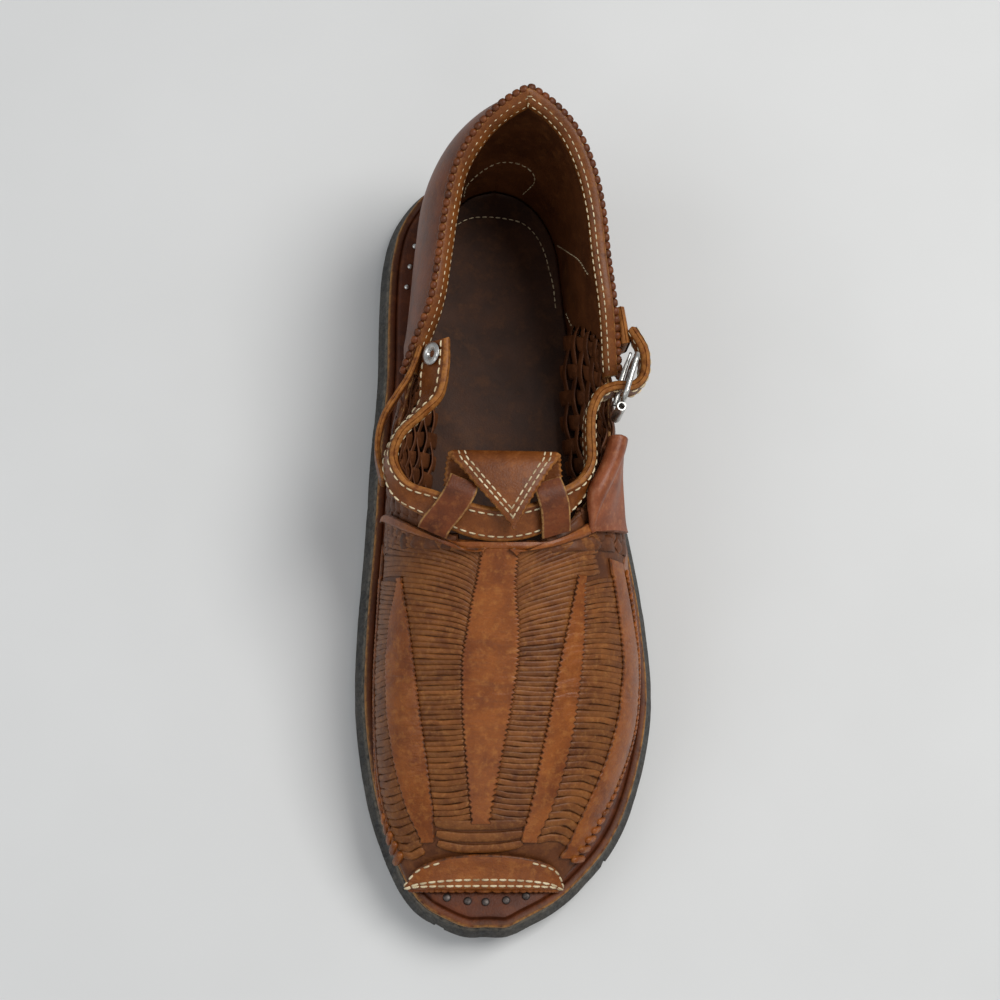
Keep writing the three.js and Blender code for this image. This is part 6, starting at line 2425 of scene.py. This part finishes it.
@dataclass
class Straps:
    """The keeper straps, the side straps, the buckle's anchor and the toe patch."""

    keeper_width: float = 9.5
    keeper_thickness: float = 1.5
    side_thickness: float = 2.0
    patch_thickness: float = 1.5
    patch_tab: float = 2.4
    anchor_thickness: float = 3.2
    medial_rows: Sequence[tuple[float, float, float, float]] = (
        (-0.352, 0.684, 0.94, 0.985), (-0.369, 0.665, 0.88, 0.96), (-0.389, 0.648, 0.84, 0.94),
        (-0.424, 0.627, 0.8, 0.93), (-0.462, 0.603, 0.74, 0.92), (-0.478, 0.584, 0.68, 0.89),
        (-0.481, 0.563, 0.6, 0.83), (-0.46, 0.532, 0.52, 0.74))
    anchor_rows: Sequence[tuple[float, float, float, float]] = (
        (0.292, 0.738, 0.72, 1.0), (0.303, 0.712, 0.72, 1.0), (0.312, 0.693, 0.76, 0.98))
    roll: Sequence[tuple[float, float]] = (
        (-0.3, 2.0), (0.3, 3.6), (1.6, 4.6), (3.2, 4.4), (4.4, 3.0), (4.8, 1.2))
    # along, height over the last's top
    keeper_places: Sequence[tuple[float, float]] = (
        (0.514, 7.6), (0.5, 8.2), (0.482, 6.6), (0.462, 3.6), (0.455, 1.8))

    def build(self, bench: Bench, finishes: Finishes) -> None:
        """Make the straps.

        Args:
            bench: Where pieces are made.
            finishes: The shoe's finishes.
        """
        self.keeper(bench, finishes, Side.MEDIAL, (-0.225, -0.255, -0.3), -2.0)
        self.keeper(bench, finishes, Side.LATERAL, (0.055, 0.07, 0.075), 1.5)
        self.medial(bench, finishes)
        self.lateral(bench, finishes)
        self.anchor(bench, finishes)
        self.patch(bench, finishes)

    def keeper(self, bench: Bench, finishes: Finishes, side: Side, xs: Sequence[float], skew: float) -> None:
        """Make one keeper strap.

        Args:
            bench: Where pieces are made.
            finishes: The shoe's finishes.
            side: Which side.
            xs: Its places across the shoe, from the flap down.
            skew: How far its edges are skewed along the shoe.
        """
        last = bench.last
        level = last.floor(np.float64(0.4)) + last.instep
        first, final = xs[0] - 0.1 * (xs[0] + 0.088), xs[-1] * 1.03
        rows = [(x, y, z) for x, (y, z) in zip((first, *xs, final), self.keeper_places)]
        stops = np.array([(last.across(x), last.lengthwise(y), level + z) for x, y, z in rows])
        line = spline(stops, 40)
        spread = np.array([self.keeper_width / 2, skew, 0])
        t = np.linspace(-1, 1, 9)
        grid = line[:, None] + spread * t[None, :, None]
        normals = grid_normals(grid, np.array([0, -0.3, 1.0]))
        shape = Shape()
        shape.strap(grid, normals, self.keeper_thickness, 0.42)
        name = side.name.lower()
        bench.piece(f"keeper_{name}", shape, finishes.counter, "brown_leather", [f"keeper_strap_{name}"],
                    sharp=70)

    def lateral(self, bench: Bench, finishes: Finishes) -> None:
        """Make the lateral side strap: it rises out of the wall and rolls over towards the buckle.

        Args:
            bench: Where pieces are made.
            finishes: The shoe's finishes.
        """
        last = bench.last
        t = np.linspace(0, 1, 110)[:, None]
        k = np.linspace(0, 1, 16)[None]
        high = 0.74 + 0.26 * np.sin(math.pi / 2 * np.minimum(1, t / 0.7))
        low = 0.4 + 0.38 * t
        v = low + (high - low) * k
        u = last.throat + 1.6 + 3.5 * t + 0 * k
        fold = 0.35 * np.sin(9 * k + 5 * t) * t * (1 - t) * 3
        middle = last.gap + 0.5 + self.side_thickness / 2
        points = last.at(Side.LATERAL, u, v, middle + 1.4 * k ** 2 * smooth(0, 0.3, t) + fold)
        points[..., 2] += 5 * t ** 3
        normals = last.normal(Side.LATERAL, u, v)
        inward = -unit(normals[:, -1] * np.array([1, 1, 0]))
        grown = 0.12 + 0.88 * smooth(0.15, 0.6, t)
        rows = [points]
        for reach, rise in self.roll:
            rows.append((points[:, -1] + inward * reach * grown
                         + np.array([0, 0, 1]) * rise * grown * (0.75 + 0.5 * t))[:, None])
        points = np.concatenate(rows, 1)
        normals = grid_normals(points, np.concatenate([normals] + [normals[:, -1:]] * len(self.roll), 1))
        shape = Shape()
        shape.strap(points, normals, self.side_thickness, 0.5)
        bench.piece("side_band_lateral", shape, finishes.pink, "brown_leather", ["side_strap_lateral"],
                    sharp=70)

    def medial(self, bench: Bench, finishes: Finishes) -> None:
        """Make the medial side strap, an upright band from the eyelet to the wall.

        Args:
            bench: Where pieces are made.
            finishes: The shoe's finishes.
        """
        self.upright(bench, "side_band_medial", self.medial_rows, self.side_thickness, finishes.collar,
                     "brown_leather", "side_strap_medial")

    def anchor(self, bench: Bench, finishes: Finishes) -> None:
        """Make the folded strap that holds the buckle.

        Args:
            bench: Where pieces are made.
            finishes: The shoe's finishes.
        """
        self.upright(bench, "anchor_strap", self.anchor_rows, self.anchor_thickness, finishes.collar,
                     "saddle_leather", "buckle_anchor")

    @staticmethod
    def upright(bench: Bench, name: str, rows: Sequence[Sequence[float]], thickness: float,
                material: bpy.types.Material, slot: str, node: str) -> None:
        """Make an upright band of two plies.

        Args:
            bench: Where pieces are made.
            name: The piece's name.
            rows: x, y, height of the lower edge and height of the upper edge, as shares.
            thickness: Its thickness.
            material: Its finish.
            slot: The record's slot.
            node: The CAD node that it stands for.
        """
        x, y, bottom, top = np.array(rows).T
        low = spline(Collar.point(bench.last, x, y, bottom), 90)
        high = spline(Collar.point(bench.last, x, y, top), 90)
        t = np.linspace(0, 1, 9)
        grid = low[:, None] + (high - low)[:, None] * t[None, :, None]
        normals = grid_normals(grid, np.array([1.0, 0, 0]))
        shape = Shape()
        shape.strap(grid, normals, thickness, 0.5, plies=True)
        bench.piece(name, shape, material, slot, [node], sharp=70)

    def patch(self, bench: Bench, finishes: Finishes) -> None:
        """Make the toe patch, a lens with its pinked edge on the midsole.

        Args:
            bench: Where pieces are made.
            finishes: The shoe's finishes.
        """
        grid = self.patch_grid(bench.last)
        normals = grid_normals(grid, np.array([0, -0.4, 1.0]))
        shape = Shape()
        shape.strap(grid, normals, self.patch_thickness, 0.5)
        bench.piece("toe_patch_leather", shape, finishes.band, "saddle_leather", ["toe_patch"], sharp=70)

    def patch_grid(self, last: Last, tabs: int = 25, each: int = 8) -> Array:
        """The patch's middle surface.

        Args:
            last: The last.
            tabs: How many tabs its lower edge is cut into.
            each: Stations to a tab.

        Returns:
            Points, from the medial end to the lateral one, by places from the tabs up.
        """
        s = np.linspace(-1, 1, tabs * each + 1)
        c = s * 0.88
        top = 0.05 + 1.57 * (1 - s * s) ** 1.35
        front = last.over(0 * s, c, 0.0)
        notch = np.abs(np.sin(math.pi * (s + 1) / 2 * tabs)) ** 0.35
        reach = self.patch_tab * (0.45 + 0.55 * notch)
        middle = last.gap + self.patch_thickness / 2
        tab = np.stack([front[:, 0], front[:, 1] - reach,
                        last.floor(last.share(front[:, 1] - reach)) + middle + 0.1], -1)
        level = tab[:, 2] * 0.65 + (front[:, 2] + middle) * 0.35
        bend = np.stack([front[:, 0], front[:, 1] - 0.9, level], -1)
        knee = front + np.array([0, -0.5, middle])
        rows = [tab, (tab + bend) / 2, bend, knee]
        for k in (0, 0.1, 0.2, 0.3, 0.45, 0.6, 0.8, 1):
            puff = 0.25 * math.sin(math.pi * k)
            rows.append(last.over(0.02 + top * k, c, last.gap + 0.2 + self.patch_thickness / 2 + puff))
        return np.stack(rows, 1)


# Metal


@dataclass
class Hardware:
    """The buckle, the eyelet and the nails."""

    wire: float = 2.2
    length: float = 19.0
    width: float = 18.0
    prong: float = 1.8
    roller: float = 3.4
    turn: float = 1.27
    eyelet_hole: float = 4.0
    eyelet_rim: float = 8.0
    nail_head: float = 2.8
    nail_proud: float = 0.9
    nail_setback: float = 5.0
    heel_nails: Sequence[float] = (0.82, 0.847, 0.874, 0.9, 0.925)
    toe_nails: Sequence[tuple[float, float]] = (
        (-0.232, 0.047), (-0.165, 0.043), (-0.107, 0.042), (-0.04, 0.044), (0.025, 0.049))

    def to_shoe(self, last: Last, points: Array) -> Array:
        """Points of the buckle, from its own plane into the shoe.

        Args:
            last: The last.
            points: x along the strap, y up, z out of the buckle's plane.

        Returns:
            Points in the shoe's millimetres.
        """
        points = np.asarray(points, float)
        x, y, z = points[..., 0], -points[..., 2], points[..., 1]
        turned = np.stack([x * math.cos(self.turn) - y * math.sin(self.turn),
                           x * math.sin(self.turn) + y * math.cos(self.turn), z], -1)
        return turned + Collar.point(last, 0.316, 0.646, 0.965)

    def build(self, bench: Bench, maker: Maker, finishes: Finishes, collar: Collar) -> None:
        """Make the metal pieces.

        Args:
            bench: Where pieces are made.
            maker: What runs the trees.
            finishes: The shoe's finishes.
            collar: The band that carries the eyelet.
        """
        last = bench.last
        r = self.wire / 2 * 0.86
        long, high, corner = self.length / 2 - self.wire / 2, self.width / 2 - self.wire / 2, 3.0
        loop = []
        for x, y, start in ((1, -1, -90), (1, 1, 0), (-1, 1, 90), (-1, -1, 180)):
            for angle in np.radians(np.linspace(start, start + 90, 9)):
                loop.append((x * (long - corner) + corner * math.cos(angle),
                             y * (high - corner) + corner * math.sin(angle), 0))
        frame_shape = Shape()
        frame_shape.tube(self.to_shoe(last, np.array(loop)), r, 12, closed=True)
        bench.piece("buckle_wire", frame_shape, finishes.bright, "bright_metal", ["buckle_frame"])
        half = self.length / 2
        lift = -self.wire * 0.35 - self.prong / 2 - last.gap
        stops = np.array([(-half - 0.2, 0, lift), (0, 0, lift - 0.4), (half + 0.6, 0, lift)])
        path = spline(stops, 30)
        taper = self.prong / 2 * (1 - 0.45 * smooth(0.6, 1.0, np.linspace(0, 1, 30)))
        prong = Shape()
        prong.tube(self.to_shoe(last, path), taper, 10)
        bench.piece("prong_wire", prong, finishes.bright, "bright_metal", ["buckle_prong"])
        self.tube_roller(bench, finishes)
        self.ring(bench, finishes, collar)
        self.nails(bench, maker, finishes)

    def tube_roller(self, bench: Bench, finishes: Finishes) -> None:
        """Make the roller before the buckle's front bar.

        Args:
            bench: Where pieces are made.
            finishes: The shoe's finishes.
        """
        r, h = self.roller / 2, self.width / 2 - 1.5
        centre = self.to_shoe(bench.last, np.array([-self.length / 2 - r - bench.last.gap, 0, 0]))
        profile = [(r - 0.6, -h), (r - 0.2, -h), (r, -h + 0.25), (r, h - 0.25), (r - 0.2, h), (r - 0.6, h)]
        shape = Shape()
        shape.lathe(profile, centre, (0, 0, 1), 24, hollow=True)
        bench.piece("roller_tube", shape, finishes.bright, "bright_metal", ["buckle_roller"], sharp=40)

    def ring(self, bench: Bench, finishes: Finishes, collar: Collar) -> None:
        """Make the eyelet in the collar's medial end.

        Args:
            bench: Where pieces are made.
            finishes: The shoe's finishes.
            collar: The band that carries it.
        """
        last = bench.last
        end = (collar.rows[0] + collar.rows[1]) / 2
        low, high = Collar.point(last, end[0], end[1], end[2]), Collar.point(last, end[3], end[1], end[5])
        axis = unit(np.array([low[2] - high[2], 0, high[0] - low[0]]))
        r, half, rim = self.eyelet_hole / 2, collar.thickness / 2, self.eyelet_rim / 2
        face = half + last.gap + 0.3
        profile = [(r - 0.6, -half - 0.6), (r, -half - 0.6), (r, face), (rim - 0.3, face), (rim, face + 0.3),
                   (rim - 0.25, face + 0.65), (rim - 1.1, face + 0.8), (r + 0.1, face + 0.6), (r - 0.6, face)]
        shape = Shape()
        shape.lathe(profile, (low + high) / 2, axis, 32, hollow=True)
        bench.piece("eyelet_ring", shape, finishes.bright, "bright_metal", ["eyelet"], sharp=50)

    def nails(self, bench: Bench, maker: Maker, finishes: Finishes) -> None:
        """Set the nails round the toe and beside the counter.

        Args:
            bench: Where pieces are made.
            maker: What runs the trees.
            finishes: The shoe's finishes.
        """
        last = bench.last
        toe = Guides()
        x, y = np.array(self.toe_nails).T
        points = np.stack([last.across(x), last.lengthwise(y), last.floor(y) + self.nail_proud / 2], -1)
        ahead, behind = last.floor(np.array([0.04, 0.05]))
        slope = math.atan2(ahead - behind, 0.01 * last.length)
        toe.add(points, np.array([0, math.sin(slope), math.cos(slope)]))
        names = [f"toe_nail_{k + 1}" for k in range(len(self.toe_nails))]
        maker.set("toe_nail_heads", toe, "head", (self.nail_head, self.nail_head, self.nail_proud),
                  finishes.blackened, "dark_metal", nodes=names)
        heel = Guides()
        foot = last.sides[:, 0]
        u = last.throat + 1 + np.interp(self.heel_nails, foot, np.arange(len(foot)))
        spots = last.at(Side.MEDIAL, u, 0 * u, self.nail_setback)
        spots[:, 2] = last.floor(last.share(spots[:, 1])) + self.nail_proud / 2
        heel.add(spots, np.array([0.0, 0.0, 1.0]))
        names = [f"heel_nail_{k + 1}" for k in range(len(self.heel_nails))]
        wide = self.nail_head - 0.8
        maker.set("heel_nail_heads", heel, "head", (wide, wide, self.nail_proud), finishes.bright,
                  "bright_metal", nodes=names)


# Sewing


@dataclass
class Sewing:
    """Every line of stitches on the shoe."""

    pitch: float = 3.1
    stitch: tuple[float, float, float] = (2.5, 0.62, 0.6)
    fine_pitch: float = 2.5
    fine: tuple[float, float, float] = (2.0, 0.45, 0.45)
    lining_depth: float = -2.55
    insole_height: float = 2.7

    def build(self, bench: Bench, maker: Maker, finishes: Finishes, collar: Collar, flap: Flap,
              counter: HeelCounter, straps: Straps) -> None:
        """Sew the shoe.

        Args:
            bench: Where pieces are made.
            maker: What runs the trees.
            finishes: The shoe's finishes.
            collar: The collar band.
            flap: The tongue flap.
            counter: The heel counter.
            straps: The straps and the toe patch.
        """
        last = bench.last
        guides = Guides()
        for share, face in ((0.16, Face.OUTER), (0.8, Face.OUTER), (0.16, Face.INNER), (0.8, Face.INNER)):
            guides.add(*collar.seam(last, share, face))
        maker.set("collar_stitches", guides, "thread", self.stitch, finishes.thread, "", self.pitch)
        guides = Guides()
        for side in Side:
            for inset in (3.0, 5.0):
                guides.add(*flap.seam(last, side, inset))
        maker.set("tongue_stitches", guides, "thread", (2.3, 0.62, 0.6), finishes.thread, "", 2.5)
        guides = Guides()
        for offset, up, lean in counter.seams:
            points, normals = counter.path(last, 1.0, offset, 150, up)
            guides.add(points[3:-3], unit(np.array([0, 0, 1.0]) - lean * normals[3:-3]))
        self.lining(last, guides)
        maker.set("lining_stitches", guides, "thread", self.fine, finishes.thread, "", self.fine_pitch)
        guides = Guides()
        grid = straps.patch_grid(last)
        normals = grid_normals(grid, np.array([0, -0.4, 1.0]))
        for row in (5, 7):
            points = grid[6:-6, row] + normals[6:-6, row] * (straps.patch_thickness / 2 + 0.1)
            guides.add(points, normals[6:-6, row], 1.15)
        arc = (grid[:, -1] + grid[:, -2]) / 2 + normals[:, -1] * (straps.patch_thickness / 2 + 0.1)
        third = len(arc) // 3
        guides.add(arc[6:third], normals[6:third, -1])
        guides.add(arc[-third:-6], normals[-third:-6, -1])
        maker.set("patch_stitches", guides, "thread", (2.5, 0.75, 0.7), finishes.thread, "", 2.9)

    def lining(self, last: Last, guides: Guides) -> None:
        """Add the seams of the lining and of the insole.

        Args:
            last: The last.
            guides: What is gathered.
        """
        throat = last.throat
        petal = [(Side.MEDIAL, 12.66, 0.03), (Side.MEDIAL, 12.75, 0.075), (Side.MEDIAL, 13.04, 0.1),
                 (Side.MEDIAL, 13.54, 0.143), (Side.LATERAL, 13.92, 0.16), (Side.LATERAL, 13.48, 0.185),
                 (Side.LATERAL, 13.12, 0.19), (Side.LATERAL, 12.79, 0.18), (Side.LATERAL, 12.66, 0.14),
                 (Side.LATERAL, 12.77, 0.07), (Side.LATERAL, 12.9, 0.03)]
        quarter = [(Side.LATERAL, 9.1, 0.03), (Side.LATERAL, 8.5, 0.127), (Side.LATERAL, 7.74, 0.459),
                   (Side.LATERAL, 6.94, 0.722)]
        across = [(Side.LATERAL, 10.9, 0.03), (Side.LATERAL, 10.2, 0.2), (Side.LATERAL, 9.6, 0.45),
                  (Side.LATERAL, 9.03, 0.68)]
        mirrored = [(Side.MEDIAL, u, v) for _, u, v in quarter]
        for seam in (petal, quarter, across, mirrored):
            places = [(side, np.float64(throat + u), np.float64(v)) for side, u, v in seam]
            stops = np.array([last.at(*place, self.lining_depth) for place in places])
            ups = np.array([-last.normal(*place) for place in places])
            guides.add(spline(stops, 60), unit(spline(ups, 60)))
        heel = [(-0.225, 0.905), (-0.165, 0.917), (-0.07, 0.919), (0.018, 0.912), (0.06, 0.898), (0.093, 0.875),
                (0.113, 0.847), (0.126, 0.826), (0.133, 0.799)]
        x, y = np.array(heel).T
        stops = np.stack([last.across(x), last.lengthwise(y), last.floor(y) + self.insole_height], -1)
        guides.add(spline(stops, 60), np.array([0.0, 0.0, 1.0]))


# Studio


@dataclass
class Studio:
    """The floor, the lights and the camera."""

    lens: float = 64.3
    camera: tuple[float, float, float] = (-0.0504, -0.1365, 0.65)
    aim: tuple[float, float, float] = (-0.0025, 0.012, 0.02)
    floor: str = "cfd0d0"

    def build(self) -> None:
        """Set up the studio."""
        self.pale_floor()
        self.light("key", (0.5, 0.25, 1.05), 10.4, 0.55, (1.0, 0.985, 0.96))
        self.light("fill", (-0.75, -0.15, 0.8), 2.7, 0.7, (0.96, 0.98, 1.0))
        self.light("front", (0.1, -0.9, 0.75), 1.3, 0.6, (1.0, 0.99, 0.97))
        world = bpy.data.worlds.new("studio")
        world.use_nodes = True
        background = world.node_tree.nodes["Background"]
        background.inputs["Color"].default_value = (0.9, 0.92, 0.95, 1)
        background.inputs["Strength"].default_value = 0.36
        bpy.context.scene.world = world
        bpy.context.scene.view_settings.view_transform = "Standard"
        data = bpy.data.cameras.new("camera")
        data.lens = self.lens
        data.sensor_width = 36
        camera = bpy.data.objects.new("camera", data)
        back = (Vector(self.camera) - Vector(self.aim)).normalized()
        right = Vector((0, 1, 0)).cross(back).normalized()
        turned = Matrix((right, back.cross(right), back)).transposed().to_4x4()
        camera.matrix_world = Matrix.Translation(self.camera) @ turned
        into_scene(camera)
        bpy.context.scene.camera = camera

    def pale_floor(self) -> None:
        """Make the floor."""
        mesh = bpy.data.meshes.new("floor")
        reach = 3.0
        mesh.from_pydata([(-reach, -reach, 0), (reach, -reach, 0), (reach, reach, 0), (-reach, reach, 0)], [],
                         [(0, 1, 2, 3)])
        floor = bpy.data.objects.new("floor", mesh)
        into_scene(floor)
        material, graph, shader = new_material("floor_paper")
        where = graph.place()
        tint = graph.ramp(graph.noise(where, 9.0, 3.0), 0.3, 0.7, 0.0, 0.25)
        paint = graph.mix(tint, colour(self.floor), colour("bfc0bf"))
        graph.put(shader.inputs["Base Color"], paint)
        shader.inputs["Roughness"].default_value = 0.85
        mesh.materials.append(material)

    def light(self, name: str, at: tuple[float, float, float], power: float, size: float,
              tint: tuple[float, float, float]) -> None:
        """Add a soft light aimed at the shoe.

        Args:
            name: Its name.
            at: Its place.
            power: Its power in watts.
            size: Its side.
            tint: Its colour.
        """
        data = bpy.data.lights.new(name, "AREA")
        data.energy = power
        data.size = size
        data.color = tint
        lamp = bpy.data.objects.new(name, data)
        lamp.location = at
        lamp.rotation_euler = (-Vector(at)).to_track_quat("-Z", "Y").to_euler()
        into_scene(lamp)


def main() -> None:
    """Build the shoe piece by piece, then the studio."""
    logging.basicConfig(level=logging.INFO, format="%(message)s")
    bench = Bench(Last())
    maker = Maker(bench)
    finishes = Finishes()
    collar, flap, counter, straps = Collar(), Flap(), HeelCounter(), Straps()
    Outsole().build(bench, finishes)
    Midsole().build(bench, finishes)
    Insole().build(bench, finishes)
    UpperWall().build(bench, finishes)
    Vamp().build(bench, maker, finishes)
    Quarters().build(bench, maker, finishes)
    counter.build(bench, maker, finishes)
    collar.build(bench, finishes)
    flap.build(bench, finishes)
    straps.build(bench, finishes)
    Hardware().build(bench, maker, finishes, collar)
    Sewing().build(bench, maker, finishes, collar, flap, counter, straps)
    Studio().build()
    log.info("%d pieces", len(bench.made))


if __name__ == "__main__":
    main()
